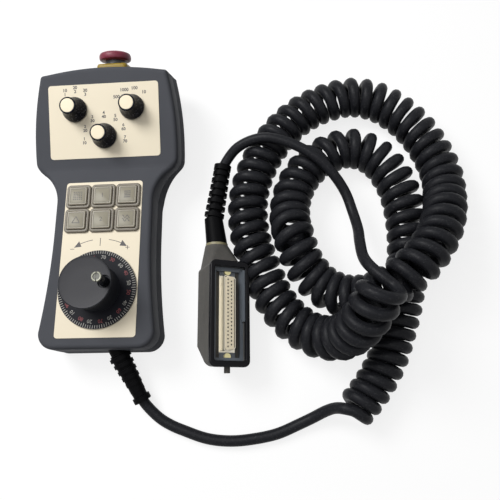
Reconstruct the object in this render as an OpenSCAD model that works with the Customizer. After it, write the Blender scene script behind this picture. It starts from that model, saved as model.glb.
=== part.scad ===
// Hand-held pulse generator with a handwheel, six keys, three selector knobs,
// a stop button and a curly cord with a D-shaped plug.

/* [Housing] */
// Thickness of the bent slab, face to back
slab_h = 38; // [30:0.5:46]
// Wall of both shells
wall = 3; // [2.5:0.1:3.6]
// Where the grip turns into the tilted head, from the handwheel's axis
bend_y = 98.7; // [94:0.1:106]
// Tilt of the head towards the user
head_tilt = 17.05; // [12:0.05:22]
// Half width of the grip
grip_half = 38.95; // [37:0.05:44]
// Half width of the head
head_half = 58.6; // [56:0.1:66]
// Flat lower end, from the handwheel's axis
lower_end = 44.2; // [42:0.1:48]
// Developed length from the handwheel's axis to the upper end
upper_end = 180.7; // [178:0.1:190]
// Depth of the parting line under the face
parting = 19; // [16:0.5:22]
// Edge rounding on the face
face_round = 3.4; // [2:0.1:5]
// Edge rounding on the back
back_round = 3.9; // [3:0.1:5]

/* [Labels] */
// Thickness of the label plates
label_t = 0.4; // [0.2:0.05:0.8]
// Half width of the head label
head_label_half = 45; // [40:0.5:48]
// Lower edge of the head label above the bend
head_label_low = 8.8; // [6:0.1:10]
// Upper edge of the head label above the bend
head_label_high = 68.1; // [64:0.1:72]
// Half width of the grip label
grip_label_half = 30.8; // [30.5:0.1:33]
// Lower edge of the grip label
grip_label_low = -36.3; // [-38:0.1:-33]
// Upper edge of the grip label
grip_label_high = 87.2; // [86:0.1:90]

/* [Selectors] */
// Side offset of the left and right selectors
selector_x = 23.35; // [22.5:0.05:26]
// Left and right selectors above the bend
selector_high = 48.1; // [46:0.1:51]
// Centre selector above the bend
selector_low = 26.2; // [23:0.1:28]
// Knob height over the label
knob_h = 15.9; // [12:0.1:20]
// Knob diameter at its foot
knob_d = 20.1; // [18:0.1:21]
// Knob diameter at its top
knob_top_d = 13; // [12:0.1:15]
// White knob cap diameter
knob_cap_d = 10.8; // [9:0.1:11.4]
// Diameter of a selector's switch body
switch_d = 20; // [18:0.5:21]
// Depth of a selector's switch body
switch_h = 15; // [12:0.5:20]
// Thread diameter of a selector's bushing
bushing_d = 9; // [8.4:0.1:9.4]
// Diameter of a selector's shaft
shaft_d = 6; // [5:0.1:6.4]

/* [Keys] */
// Pitch of the key columns
key_pitch_x = 19.9; // [19.8:0.05:20.3]
// Pitch of the key rows
key_pitch_y = 19.95; // [19.8:0.05:21]
// Centre of the lower key row
key_row_y = 54.85; // [53:0.05:56]
// Edge length of a key
key_w = 19.45; // [18:0.05:19.6]
// Edge length of a key's raised lens
key_lens_w = 14.5; // [12:0.1:16]
// Height of a key's skirt
key_skirt_h = 1.1; // [0.9:0.1:2]
// Height of the lens over the skirt
key_lens_h = 1.3; // [0.6:0.1:2]
// Travel of a key
key_travel = 0.8; // [0.5:0.05:1]
// Edge length of a key's stem
key_stem_w = 8; // [6:0.1:9]
// Thickness of the circuit board
board_t = 1.6; // [1.2:0.1:2.4]
// Depth of the board's upper side under the face
board_depth = 14; // [12:0.5:16]

/* [Handwheel] */
// Diameter of the graduated disc
disc_d = 60; // [56:0.5:61]
// Thickness of the graduated disc
disc_t = 1.5; // [1.2:0.1:2.5]
// Diameter of the wheel knob's rim
wheel_d = 39.2; // [37:0.1:44]
// Diameter of the wheel knob's waist
wheel_waist_d = 34.4; // [32:0.1:36]
// Height of the wheel knob over the disc
wheel_h = 24.6; // [20:0.1:27]
// Distance of the crank peg's axis from the wheel knob's rim
peg_inset = 5.6; // [5.2:0.1:7]
// Diameter of the crank peg
peg_d = 6.4; // [5.5:0.1:7]
// Height of the crank peg over the wheel knob
peg_h = 14.1; // [10:0.1:18]
// Diameter of the crank screw's head
peg_screw_d = 7.3; // [6.5:0.1:8]
// Diameter of the encoder body
encoder_d = 50; // [44:0.5:56]
// Depth of the encoder body
encoder_h = 24; // [16:0.5:26]
// Diameter of the encoder shaft
encoder_shaft_d = 6; // [5:0.1:8]

/* [Stop button] */
// Side offset of the stop button
stop_x = 3.2; // [0:0.1:4]
// Depth of the stop button's axis above the back's plane
stop_rise = 12; // [11.5:0.1:15]
// Edge length of the stop button's square collar
stop_collar_w = 25.3; // [23:0.1:27]
// Height of the yellow collar
stop_collar_h = 5.5; // [4.5:0.1:7]
// Diameter of the red mushroom cap
stop_cap_d = 26.2; // [24:0.1:29]
// Thickness of the red mushroom cap
stop_cap_h = 7.5; // [6:0.1:9]
// Travel of the stop button
stop_travel = 3.5; // [2.5:0.1:3.8]
// Diameter of the threaded neck through the end wall
stop_thread_d = 15.8; // [14:0.1:16.2]
// Diameter of the dark neck under the mushroom
stop_neck_d = 16.5; // [14:0.1:18]

/* [Cord and plug] */
// Diameter of the straight cable
cable_d = 8; // [8:0.1:8]
// Outer diameter of the curly stretch
coil_d = 31; // [31:0.1:31]
// Width of the plug's rim
rim_w = 31.6; // [30:0.1:34]
// Length of the plug's rim
rim_l = 79; // [77:0.1:84]
// Height of the plug's rim
rim_h = 3.5; // [2.5:0.1:5]
// Width of the plug's recess
recess_w = 24.5; // [23.5:0.1:25]
// Length of the plug's recess
recess_l = 70; // [69.8:0.1:72]
// Depth of the plug's recess
recess_h = 8.6; // [8.2:0.1:9]
// Depth of the whole plug
plug_h = 31; // [29:0.1:31]
// Length of the D-shaped insert
insert_l = 54.8; // [53:0.1:56]
// Width of the D-shaped insert
insert_w = 7.9; // [7:0.1:8.6]
// Length of the connector's flange
flange_l = 69.3; // [68:0.1:69.6]
// Distance between the flange screws
flange_pitch = 63.5; // [62.5:0.1:64]

/* [Hidden] */
fit = 0.3;
run = 0.05;
eps = 0.01;
// how deep a boss is rooted in the wall that carries it
sink = 0.6;

// ---- the bent housing: x across, s along the developed face, d depth under it.
// The back starts to rise below the bend and leans out a little towards both ends of the head.
back_rise_y = 79.4;
back_knee = bend_y - 20.7;
back_tilt = head_tilt - 5.25;
back_bend_y = bend_y + 10.4;
back_end_y = bend_y + 93.7;
skin = 5;
stop_v = upper_end - bend_y;

function back_y(s) = s < back_knee ? s :
  s < bend_y ? back_knee + (s - back_knee) * (back_bend_y - back_knee) / (bend_y - back_knee) :
  back_bend_y + (s - bend_y) * (back_end_y - back_bend_y) / stop_v;
function back_z(y) = max(0, y - back_rise_y) * tan(back_tilt);
// the face's point and the direction under it, per unit of depth
function face_at(s) = s < bend_y ? [s, slab_h] :
  [bend_y + (s - bend_y) * cos(head_tilt), slab_h + (s - bend_y) * sin(head_tilt)];
function under(s) = s < bend_y - eps ? [0, -1] :
  s < bend_y + eps ? [tan(head_tilt / 2), -1] : [sin(head_tilt), -cos(head_tilt)];
// straight under the face through the skin, then on towards the back's point
function bent(x, s, d) =
  let (f = face_at(s), n = under(s), near = f + n * min(d, skin), t = max(0, d - skin) / (slab_h - skin),
    b = [back_y(s), back_z(back_y(s))])
  [x, near[0] + t * (b[0] - near[0]), near[1] + t * (b[1] - near[1])];
// depth of the head's back under its face, v along the face from the bend
function head_depth(v) = let (
    b0 = [back_bend_y - bend_y, back_z(back_bend_y) - slab_h],
    b1 = [back_end_y - bend_y, back_z(back_end_y) - slab_h],
    v0 = b0[0] * cos(head_tilt) + b0[1] * sin(head_tilt), h0 = b0[0] * sin(head_tilt) - b0[1] * cos(head_tilt),
    v1 = b1[0] * cos(head_tilt) + b1[1] * sin(head_tilt), h1 = b1[0] * sin(head_tilt) - b1[1] * cos(head_tilt))
  h0 + (v - v0) * (h1 - h0) / (v1 - v0);

corner_r = 12.5;
shoulder_r = 31;
tip_r = 9.9;
top_r = 3.2;
// the concave shoulder leaves the grip below the bend and ends in a rounded tip above it
shoulder_s = bend_y - 27.5;
shoulder_x = grip_half + shoulder_r;
tip_x = head_half - 0.2 - tip_r;
tip_a = acos((shoulder_x - tip_x) / (shoulder_r + tip_r));
tip_s = shoulder_s + (shoulder_r + tip_r) * sin(tip_a);

function grip_x(s) = grip_half + 6.3 * pow(max(0, 48 - s) / 85, 2);
function head_x(s) = head_half - 0.002 * pow(max(0, s - 118), 2);
function top_s(x) = upper_end - 0.0019 * x * x;
// the bend crosses either the tip's arc or, further in, the shoulder's
function tip_reach(m) = max(0.3, tip_r - m);
function on_tip(m) = tip_s - tip_reach(m) * sin(tip_a) < bend_y;
function shoulder_a(m) = on_tip(m) ? tip_a : asin((bend_y - shoulder_s) / (shoulder_r + m));
function tip_from(m) = on_tip(m) ? asin((bend_y - tip_s) / tip_reach(m)) : -tip_a;
function bend_x(m) = on_tip(m) ? tip_x + tip_reach(m) * cos(tip_from(m)) :
  shoulder_x - (shoulder_r + m) * cos(shoulder_a(m));

corner_s = corner_r - lower_end;
corner_x = grip_x(corner_s) - corner_r;
top_corner_s = top_s(head_half - 10) - top_r;
top_x = head_x(top_corner_s) - top_r;

// right half of the outline, m inside the outer edge
function right_side(m) = [
  [corner_x, m - lower_end],
  for (a = [15:15:75]) [corner_x + (corner_r - m) * sin(a), corner_s - (corner_r - m) * cos(a)],
  for (k = [0:4]) let (s = corner_s + (shoulder_s - corner_s) * k / 5) [grip_x(s) - m, s],
  for (k = [0:4]) let (a = shoulder_a(m) * k / 5)
    [shoulder_x - (shoulder_r + m) * cos(a), shoulder_s + (shoulder_r + m) * sin(a)],
  [bend_x(m), bend_y],
  for (k = [3:-1:0]) let (a = tip_from(m) * k / 4) [tip_x + tip_reach(m) * cos(a), tip_s + tip_reach(m) * sin(a)],
  for (k = [1:4]) let (s = tip_s + (top_corner_s - tip_s) * k / 4) [head_x(s) - m, s],
  for (a = [22.5:22.5:90]) let (r = max(0.3, top_r - m)) [top_x + r * cos(a), top_corner_s + r * sin(a)],
  for (x = [36, 22, 8]) [x, top_s(x) - m]
];
function flip(points) = [for (i = [len(points) - 1:-1:0]) [-points[i][0], points[i][1]]];
function outline(m) = concat(right_side(m), flip(right_side(m)));

half_count = len(right_side(0));
count = 2 * half_count;
// rings holds [depth, inset] from the face towards the back; the flats are strips from side to side
module loft(rings) {
  last = len(rings) - 1;
  polyhedron(
    points = [for (r = rings) for (p = outline(r[1])) bent(p[0], p[1], r[0])],
    faces = concat(
      [for (i = [0:half_count - 2]) [i, count - 1 - i, count - 2 - i]],
      [for (i = [0:half_count - 2]) [i, count - 2 - i, i + 1]],
      [for (i = [0:half_count - 2]) [last * count + i, last * count + i + 1, last * count + count - 2 - i]],
      [for (i = [0:half_count - 2]) [last * count + i, last * count + count - 2 - i, last * count + count - 1 - i]],
      [for (r = [0:last - 1]) for (i = [0:count - 1])
        [r * count + i, r * count + (i + 1) % count, (r + 1) * count + i]],
      [for (r = [0:last - 1]) for (i = [0:count - 1])
        [r * count + (i + 1) % count, (r + 1) * count + (i + 1) % count, (r + 1) * count + i]]
    ));
}

// local frame on the head's face, z out of it
module on_head(v) {
  translate([0, bend_y, slab_h]) rotate([head_tilt, 0, 0]) translate([0, v, 0]) children();
}

selectors = [[-selector_x, selector_high], [selector_x, selector_high], [0, selector_low]];
screw_low = [for (x = [-1, 1]) [x * (grip_half - 10), 12 - lower_end]];
screw_high = [for (x = [-1, 1]) for (v = [12, stop_v - 14]) [x * (head_half - 11.6), v]];
boss_d = 8;
housing_screw_d = 3;
head_screw_d = 5.6;

// the strain relief at the housing's lower end, on the parting plane
relief_from = [13, -lower_end - 2.2, slab_h - parting];
relief_turn = [15, 0, 27];
relief_neck_d = 12;
relief_l = 40;

module relief_place() {
  translate(relief_from) rotate(relief_turn) rotate([90, 0, 0]) children();
}

// the end wall leans out towards the back, and the stop button stands square on it
stop_depth = slab_h - stop_rise;
end_lean = 5.1;
module stop_place() {
  on_head(stop_v) translate([stop_x, (stop_depth - skin) * tan(end_lean), -stop_depth])
    rotate([end_lean - 90, 0, 0]) children();
}

stem_hole = key_stem_w + 2 * fit;
encoder_hole = 10.4;
key_rows = [key_row_y, key_row_y + key_pitch_y];
key_columns = [-key_pitch_x, 0, key_pitch_x];
post_x = key_pitch_x * 1.5 - 1;
post_rows = [key_row_y + key_pitch_y / 2];
encoder_screw_r = 20;

module shell_holes() {
  for (p = selectors) on_head(p[1]) translate([p[0], 0, -wall - 1])
    cylinder(d = bushing_d + fit, h = wall + 2, $fn = 32);
  for (x = key_columns) for (y = key_rows)
    translate([x - stem_hole / 2, y - stem_hole / 2, slab_h - wall - 1])
      cube([stem_hole, stem_hole, wall + 2]);
  translate([0, 0, slab_h - wall - 1]) cylinder(d = encoder_hole, h = wall + 2, $fn = 48);
  for (a = [30, 150, 270]) rotate([0, 0, a]) translate([encoder_screw_r, 0, slab_h - wall - 1])
    cylinder(d = housing_screw_d + fit, h = wall + 2, $fn = 24);
}

module end_holes() {
  stop_place() translate([0, 0, -wall - 4]) cylinder(d = stop_thread_d + fit, h = wall + 8, $fn = 48);
  relief_place() translate([0, 0, -10]) cylinder(d = relief_neck_d, h = 20, $fn = 32);
}

// from and to are depths on the grip; on the head the same bosses run between the depths given for it
module boss(low, high, bore_d) translate([0, 0, -high]) difference() {
  cylinder(d = boss_d, h = high - low, $fn = 32);
  translate([0, 0, -1]) cylinder(d = bore_d, h = high - low + 2, $fn = 24);
}
module front_bosses() {
  for (p = screw_low) translate([p[0], p[1], slab_h]) boss(wall - sink, parting, housing_screw_d + 2 * run);
  for (p = screw_high) on_head(p[1]) translate([p[0], 0, 0])
    boss(wall - sink, head_depth(p[1]) / 2 - 0.6, housing_screw_d + 2 * run);
}
module rear_bosses() {
  for (p = screw_low) translate([p[0], p[1], slab_h]) boss(parting, slab_h - wall + sink, 1);
  for (p = screw_high) on_head(p[1]) translate([p[0], 0, 0])
    boss(head_depth(p[1]) / 2 + 0.6, head_depth(p[1]) - wall + 2 * sink, 1);
}

module front_shell() color("#50545c") {
  difference() {
    loft([[0, face_round], [0.1 * face_round, 0.56 * face_round], [0.4 * face_round, 0.2 * face_round],
      [face_round, 0.1], [parting, 0]]);
    loft([[wall, wall + 1.6], [wall + 1.6, wall], [parting + 1, wall]]);
    shell_holes();
    end_holes();
  }
  difference() {
    front_bosses();
    end_holes();
  }
  // posts that carry the circuit board
  for (x = [-post_x, post_x]) for (y = post_rows)
    translate([x, y, slab_h - board_depth]) difference() {
      cylinder(d = 6, h = board_depth - wall + sink, $fn = 24);
      translate([0, 0, -1]) cylinder(d = 2.2, h = 9, $fn = 24);
    }
}

module counterbores() {
  for (p = screw_low) translate([p[0], p[1], -1]) {
    cylinder(d = head_screw_d + 0.6, h = 6, $fn = 24);
    cylinder(d = housing_screw_d + 2 * run, h = slab_h, $fn = 24);
  }
  for (p = screw_high) on_head(p[1]) translate([p[0], 0, -head_depth(p[1]) - 1]) {
    cylinder(d = head_screw_d + 0.6, h = 6, $fn = 24);
    cylinder(d = housing_screw_d + 2 * run, h = head_depth(p[1]) - 10, $fn = 24);
  }
}

module rear_shell() color("#484c54") difference() {
  union() {
    difference() {
      loft([[parting, 0], [slab_h - back_round, 0.3], [slab_h - 0.45 * back_round, 0.19 * back_round],
        [slab_h - 0.12 * back_round, 0.53 * back_round], [slab_h, back_round]]);
      loft([[parting - 1, wall], [slab_h - wall - 2, wall + 0.3], [slab_h - wall, wall + 2.3]]);
      end_holes();
    }
    difference() {
      rear_bosses();
      end_holes();
    }
  }
  counterbores();
}

module one_screw(head_l, shank_l) {
  cylinder(d = head_screw_d, h = head_l, $fn = 24);
  cylinder(d = housing_screw_d, h = head_l + shank_l, $fn = 24);
}

module housing_screws() color("#9a9da2") {
  for (p = screw_low) translate([p[0], p[1], 2.2]) one_screw(2.8, slab_h - parting + 4);
  for (p = screw_high) on_head(p[1]) translate([p[0], 0, 2.2 - head_depth(p[1])])
    one_screw(2.8, head_depth(p[1]) - 15);
}

// ---- labels
module plate(half, low, high, r) {
  linear_extrude(label_t) hull_free(half, low, high, r);
}
module hull_free(half, low, high, r) {
  translate([-half + r, low]) square([2 * half - 2 * r, high - low]);
  translate([-half, low + r]) square([2 * half, high - low - 2 * r]);
  for (x = [-half + r, half - r]) for (y = [low + r, high - r]) translate([x, y]) circle(r, $fn = 24);
}

module head_label() color("#f3ecd6") difference() {
  on_head(0) plate(head_label_half, head_label_low, head_label_high, 2.5);
  for (p = selectors) on_head(p[1]) translate([p[0], 0, -1]) cylinder(d = bushing_d + fit, h = 3, $fn = 32);
}

module grip_label() color("#f3ecd6") difference() {
  translate([0, 0, slab_h]) plate(grip_label_half, grip_label_low, grip_label_high, 2.5);
  for (x = key_columns) for (y = key_rows)
    translate([x - stem_hole / 2, y - stem_hole / 2, slab_h - 1]) cube([stem_hole, stem_hole, 3]);
  translate([0, 0, slab_h - 1]) cylinder(d = encoder_hole, h = 3, $fn = 48);
  for (a = [30, 150, 270]) rotate([0, 0, a]) translate([encoder_screw_r, 0, slab_h - 1])
    cylinder(d = housing_screw_d + fit, h = 3, $fn = 24);
}

// ---- rotary selectors, built on the head's face at the origin
nut_h = 2.2;
nut_d = 13;
knob_gap = 0.5;
knob_socket = nut_h + 1.2;
knob_low = label_t + knob_gap;
knob_high = label_t + knob_h;
bushing_high = label_t + nut_h + 0.6;

module at(p) {
  on_head(p[1]) translate([p[0], 0, 0]) children();
}

module knob() {
  translate([0, 0, knob_low]) difference() {
    rotate_extrude($fn = 64) polygon([
      [0, 0], [knob_d / 2 - 0.4, 0], [knob_d / 2, 0.5], [knob_d / 2 - 0.1, 1.6],
      [knob_top_d / 2 + 0.2, knob_h - knob_gap - 1], [knob_top_d / 2 - 0.3, knob_h - knob_gap],
      [knob_cap_d / 2, knob_h - knob_gap], [knob_cap_d / 2, knob_h - knob_gap - 1], [0, knob_h - knob_gap - 1]]);
    translate([0, 0, -1]) cylinder(d = nut_d + 2, h = knob_socket + 1, $fn = 32);
    translate([0, 0, -1]) cylinder(d = shaft_d, h = knob_h - 3.5, $fn = 32);
  }
}

module knob_cap() {
  translate([0, 0, knob_high - 1]) cylinder(d = knob_cap_d, h = 1.15, $fn = 48);
}

module switch_body() {
  difference() {
    union() {
      translate([0, 0, -wall - switch_h]) cylinder(d = switch_d, h = switch_h, $fn = 48);
      translate([0, 0, -wall - eps]) cylinder(d = bushing_d, h = wall + bushing_high, $fn = 32);
    }
    translate([0, 0, -wall - switch_h + 4]) cylinder(d = shaft_d + 2 * run, h = switch_h + wall + 8, $fn = 32);
  }
}

module switch_shaft() {
  translate([0, 0, -wall - switch_h + 4.1])
    cylinder(d = shaft_d, h = switch_h + wall - 4.1 + knob_high - 4.4, $fn = 32);
}

module left_knob() color("#1c1e24") at(selectors[0]) knob();
module right_knob() color("#1c1e24") at(selectors[1]) knob();
module centre_knob() color("#1c1e24") at(selectors[2]) knob();
module left_knob_cap() color("#f4ecd8") at(selectors[0]) knob_cap();
module right_knob_cap() color("#f4ecd8") at(selectors[1]) knob_cap();
module centre_knob_cap() color("#f4ecd8") at(selectors[2]) knob_cap();
module left_switch() color("#33353a") at(selectors[0]) switch_body();
module right_switch() color("#33353a") at(selectors[1]) switch_body();
module centre_switch() color("#33353a") at(selectors[2]) switch_body();
module left_shaft() color("#b8bbc0") at(selectors[0]) switch_shaft();
module right_shaft() color("#b8bbc0") at(selectors[1]) switch_shaft();
module centre_shaft() color("#b8bbc0") at(selectors[2]) switch_shaft();

module switch_nuts() color("#b8bbc0") for (p = selectors) at(p) translate([0, 0, label_t]) difference() {
  cylinder(d = nut_d, h = nut_h, $fn = 6);
  translate([0, 0, -1]) cylinder(d = bushing_d + 2 * run, h = nut_h + 2, $fn = 32);
}

// ---- keys
key_gap = key_travel + 0.1;
key_low = slab_h + label_t + key_gap;
stem_low = slab_h - wall - 2.4;
board_top = slab_h - board_depth;

module square_post(w, r, h) {
  linear_extrude(h) {
    translate([-w / 2 + r, -w / 2]) square([w - 2 * r, w]);
    translate([-w / 2, -w / 2 + r]) square([w, w - 2 * r]);
    for (x = [-1, 1]) for (y = [-1, 1]) translate([x * (w / 2 - r), y * (w / 2 - r)]) circle(r, $fn = 24);
  }
}

module key(column, row) {
  translate([key_columns[column], key_rows[row], 0]) {
    translate([0, 0, key_low]) square_post(key_w, 3, key_skirt_h * 0.6);
    translate([0, 0, key_low + key_skirt_h * 0.6 - eps]) square_post(key_w - 1.6, 2.2, key_skirt_h * 0.4);
    translate([0, 0, key_low + key_skirt_h - 2 * eps]) square_post(key_lens_w, 1, key_lens_h);
    translate([-key_stem_w / 2, -key_stem_w / 2, stem_low])
      cube([key_stem_w, key_stem_w, key_low - stem_low + 1]);
  }
}

module key_upper_left() color("#a89c86") key(0, 1);
module key_upper_centre() color("#a89c86") key(1, 1);
module key_upper_right() color("#a89c86") key(2, 1);
module key_lower_left() color("#a89c86") key(0, 0);
module key_lower_centre() color("#a89c86") key(1, 0);
module key_lower_right() color("#a89c86") key(2, 0);

module key_switches() color("#2c2e33") for (x = key_columns) for (y = key_rows) {
  translate([x - 6, y - 6, board_top]) cube([12, 12, stem_low - board_top - 2]);
  translate([x, y, board_top]) cylinder(d = 6, h = stem_low - board_top - key_travel - 0.3, $fn = 24);
}

module circuit_board() color("#2c5a3c") difference() {
  translate([-post_x - 3.5, key_row_y - 9, board_top - board_t])
    cube([2 * post_x + 7, key_pitch_y + 18, board_t]);
  for (x = [-post_x, post_x]) for (y = post_rows)
    translate([x, y, board_top - board_t - 1]) cylinder(d = 2.4, h = board_t + 2, $fn = 24);
}

module board_screws() color("#9a9da2") for (x = [-post_x, post_x]) for (y = post_rows)
  translate([x, y, board_top - board_t]) {
    translate([0, 0, -2]) cylinder(d = 4.4, h = 2, $fn = 24);
    translate([0, 0, -1]) cylinder(d = 2.1, h = board_t + 8, $fn = 24);
  }

// ---- handwheel
disc_low = slab_h + label_t + 0.2;
disc_high = disc_low + disc_t;
wheel_high = disc_high + wheel_h;
dimple_d = peg_screw_d + 2.6;
peg_offset = wheel_d / 2 - peg_inset;
peg_low = wheel_high - 2.2;
peg_high = wheel_high + peg_h;
shaft_high = wheel_high - 8;
encoder_low = slab_h - wall - encoder_h;

module dial_disc() color("#121318") translate([0, 0, disc_low]) difference() {
  rotate_extrude($fn = 96) polygon([[0, 0], [disc_d / 2, 0], [disc_d / 2, disc_t - 0.5], [disc_d / 2 - 0.5, disc_t],
    [0, disc_t]]);
  translate([0, 0, -1]) cylinder(d = encoder_shaft_d, h = disc_t + 2, $fn = 32);
}

module wheel_knob() color("#2a2c32") difference() {
  translate([0, 0, disc_high]) rotate_extrude($fn = 96) polygon([
    [0, 0], [wheel_waist_d / 2 + 0.6, 0], [wheel_waist_d / 2 + 0.1, 1.2], [wheel_waist_d / 2, wheel_h * 0.35],
    [wheel_waist_d / 2 + 0.5, wheel_h * 0.65], [wheel_d / 2 - 1, wheel_h - 3.2], [wheel_d / 2 - 0.1, wheel_h - 1.4],
    [wheel_d / 2, wheel_h - 0.7], [wheel_d / 2 - 0.4, wheel_h - 0.1], [wheel_d / 2 - 1, wheel_h],
    [wheel_d / 2 - 2.6, wheel_h - 0.3], [0, wheel_h - 0.8]]);
  translate([0, 0, disc_high - 1]) cylinder(d = encoder_shaft_d, h = shaft_high - disc_high + 1, $fn = 32);
  translate([peg_offset, 0, peg_low - 0.1]) cylinder(d = dimple_d, h = 6, $fn = 32);
  translate([peg_offset, 0, peg_low - 10]) cylinder(d = 3, h = 12, $fn = 24);
}

module crank_peg() color("#3a3c42") translate([peg_offset, 0, peg_low]) difference() {
  rotate_extrude($fn = 48) polygon([[0, 0], [peg_d / 2 + 0.5, 0], [peg_d / 2 + 0.5, 1.4], [peg_d / 2 - 0.4, 3],
    [peg_d / 2 - 0.4, peg_high - peg_low - 3], [peg_d / 2, peg_high - peg_low - 0.1], [0, peg_high - peg_low - 0.1]]);
  translate([0, 0, -1]) cylinder(d = 3 + 2 * run, h = peg_high - peg_low + 2, $fn = 24);
}

module crank_screw() color("#b9b6ac") translate([peg_offset, 0, 0]) difference() {
  union() {
    translate([0, 0, peg_low - 10]) cylinder(d = 3, h = peg_high - peg_low + 10.5, $fn = 24);
    translate([0, 0, peg_high]) cylinder(d = peg_screw_d, h = 1.4, $fn = 48);
  }
  translate([-0.5, -peg_screw_d, peg_high + 0.9]) cube([1, 2 * peg_screw_d, 2]);
}

module encoder_shaft() color("#b8bbc0") translate([0, 0, encoder_low + 6])
  cylinder(d = encoder_shaft_d, h = shaft_high - 0.1 - encoder_low - 6, $fn = 32);

module encoder_body() color("#3c3f45") difference() {
  union() {
    translate([0, 0, encoder_low]) cylinder(d = encoder_d, h = encoder_h, $fn = 64);
    translate([0, 0, slab_h - wall - eps]) cylinder(d = encoder_hole - 0.4, h = wall, $fn = 48);
  }
  translate([0, 0, encoder_low + 5.9]) cylinder(d = encoder_shaft_d + 2 * run, h = slab_h, $fn = 32);
  for (a = [30, 150, 270]) rotate([0, 0, a]) translate([encoder_screw_r, 0, slab_h - wall - 6])
    cylinder(d = housing_screw_d + 2 * run, h = 8, $fn = 24);
}

module encoder_screws() color("#9a9da2") for (a = [30, 150, 270]) rotate([0, 0, a])
  translate([encoder_screw_r, 0, slab_h - wall - 5.6]) cylinder(d = housing_screw_d, h = wall + 5.6, $fn = 24);

// ---- stop button, built along its axis from the end wall
plunger_low = -9;
stop_stem_d = 8;
stop_block = 14;
stop_block_h = stop_block - 1.5;
stop_body_l = 8;
stop_nut_d = 2 * (stop_rise - wall) + 0.5;
stop_neck_high = stop_collar_h + stop_travel + 0.5;
stop_bore_low = plunger_low - stop_travel - 0.5;

module estop_collar() color("#e8c518") stop_place() difference() {
  union() {
    translate([0, 0, 0.1]) square_post(stop_collar_w, 3, stop_collar_h - 1.1);
    translate([0, 0, 0.1]) square_post(stop_collar_w - 1.6, 2.4, stop_collar_h - 0.1);
  }
  translate([0, 0, -1]) cylinder(d = stop_neck_d + 0.2, h = stop_collar_h + 2, $fn = 48);
}

module estop_body() color("#2c2e33") stop_place() difference() {
  union() {
    translate([0, 0, -wall - stop_body_l]) cylinder(d = stop_thread_d, h = wall + stop_body_l, $fn = 48);
    translate([-stop_block / 2, -stop_block / 2, -wall - stop_body_l - stop_block_h + 0.5])
      cube([stop_block, stop_block, stop_block_h]);
  }
  translate([0, 0, stop_bore_low]) cylinder(d = stop_stem_d + 0.2, h = 30, $fn = 48);
}

module estop_nut() color("#9a9da2") stop_place() translate([0, 0, -wall - 4.3]) difference() {
  cylinder(d = stop_nut_d, h = 3.4, $fn = 48);
  translate([0, 0, -1]) cylinder(d = stop_thread_d + 2 * run, h = 6, $fn = 48);
}

module estop_plunger() color("#17181c") stop_place() {
  translate([0, 0, stop_travel + 0.3]) cylinder(d = stop_neck_d, h = stop_neck_high - stop_travel - 0.4, $fn = 48);
  translate([0, 0, plunger_low]) cylinder(d = stop_stem_d, h = stop_neck_high + 3 - plunger_low, $fn = 32);
}

module estop_cap() color("#c01418") stop_place() translate([0, 0, stop_neck_high]) difference() {
  rotate_extrude($fn = 96) polygon([[0, 0], [stop_cap_d / 2 - 1.6, 0], [stop_cap_d / 2 - 0.2, 0.7],
    [stop_cap_d / 2, 2], [stop_cap_d / 2 - 0.2, stop_cap_h - 3.2], [stop_cap_d / 2 - 1.4, stop_cap_h - 1.3],
    [stop_cap_d / 2 - 3.6, stop_cap_h - 0.4], [0, stop_cap_h]]);
  translate([0, 0, -1]) cylinder(d = stop_stem_d + 0.1, h = 4.1, $fn = 32);
}

// ---- strain relief at the housing
relief_start_d = 16.7;
relief_end_d = 10.5;
relief_ribs = 6;

module housing_strain_relief() color("#17181c") difference() {
  relief_place() {
    translate([0, 0, -6]) cylinder(d = relief_neck_d, h = 8, $fn = 32);
    translate([0, 0, -7]) cylinder(d = relief_neck_d - 2, h = 4, $fn = 32);
    cylinder(d1 = relief_start_d - 2.5, d2 = relief_end_d, h = relief_l - 3, $fn = 32);
    for (i = [0:relief_ribs - 1]) translate([0, 0, 1.5 + i * 5.4])
      cylinder(d = relief_start_d + (relief_end_d - relief_start_d) * i / relief_ribs, h = 3, $fn = 32);
    translate([0, 0, relief_l - 4]) cylinder(d = 13.5, h = 4, $fn = 32);
  }
  translate([-50, -lower_end, -10]) difference() {
    cube([100, 12, 60]);
    translate([50, lower_end, 10]) relief_place() translate([0, 0, -10]) cylinder(d = relief_neck_d, h = 30, $fn = 32);
  }
  relief_place() translate([0, 0, relief_l - 8]) cylinder(d = cable_d, h = 10, $fn = 32);
}

// ---- cord: tubes swept along chosen points
function dir3(v) = v / norm(v);
function tangent(path, i) =
  dir3(path[min(i + 1, len(path) - 1)] - path[max(i - 1, 0)]);

module tube(path, diameter, sides) {
  n = len(path);
  polyhedron(
    points = [for (i = [0:n - 1]) let (t = tangent(path, i), a = dir3(cross(t, [0, 0, 1])), b = cross(a, t))
      for (k = [0:sides - 1]) path[i] + diameter / 2 * (cos(360 * k / sides) * a + sin(360 * k / sides) * b)],
    faces = concat(
      [[for (k = [0:sides - 1]) k]],
      [[for (k = [sides - 1:-1:0]) (n - 1) * sides + k]],
      [for (i = [0:n - 2]) for (k = [0:sides - 1])
        [i * sides + k, (i + 1) * sides + k, i * sides + (k + 1) % sides]],
      [for (i = [0:n - 2]) for (k = [0:sides - 1])
        [i * sides + (k + 1) % sides, (i + 1) * sides + k, (i + 1) * sides + (k + 1) % sides]]
    ));
}

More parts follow.
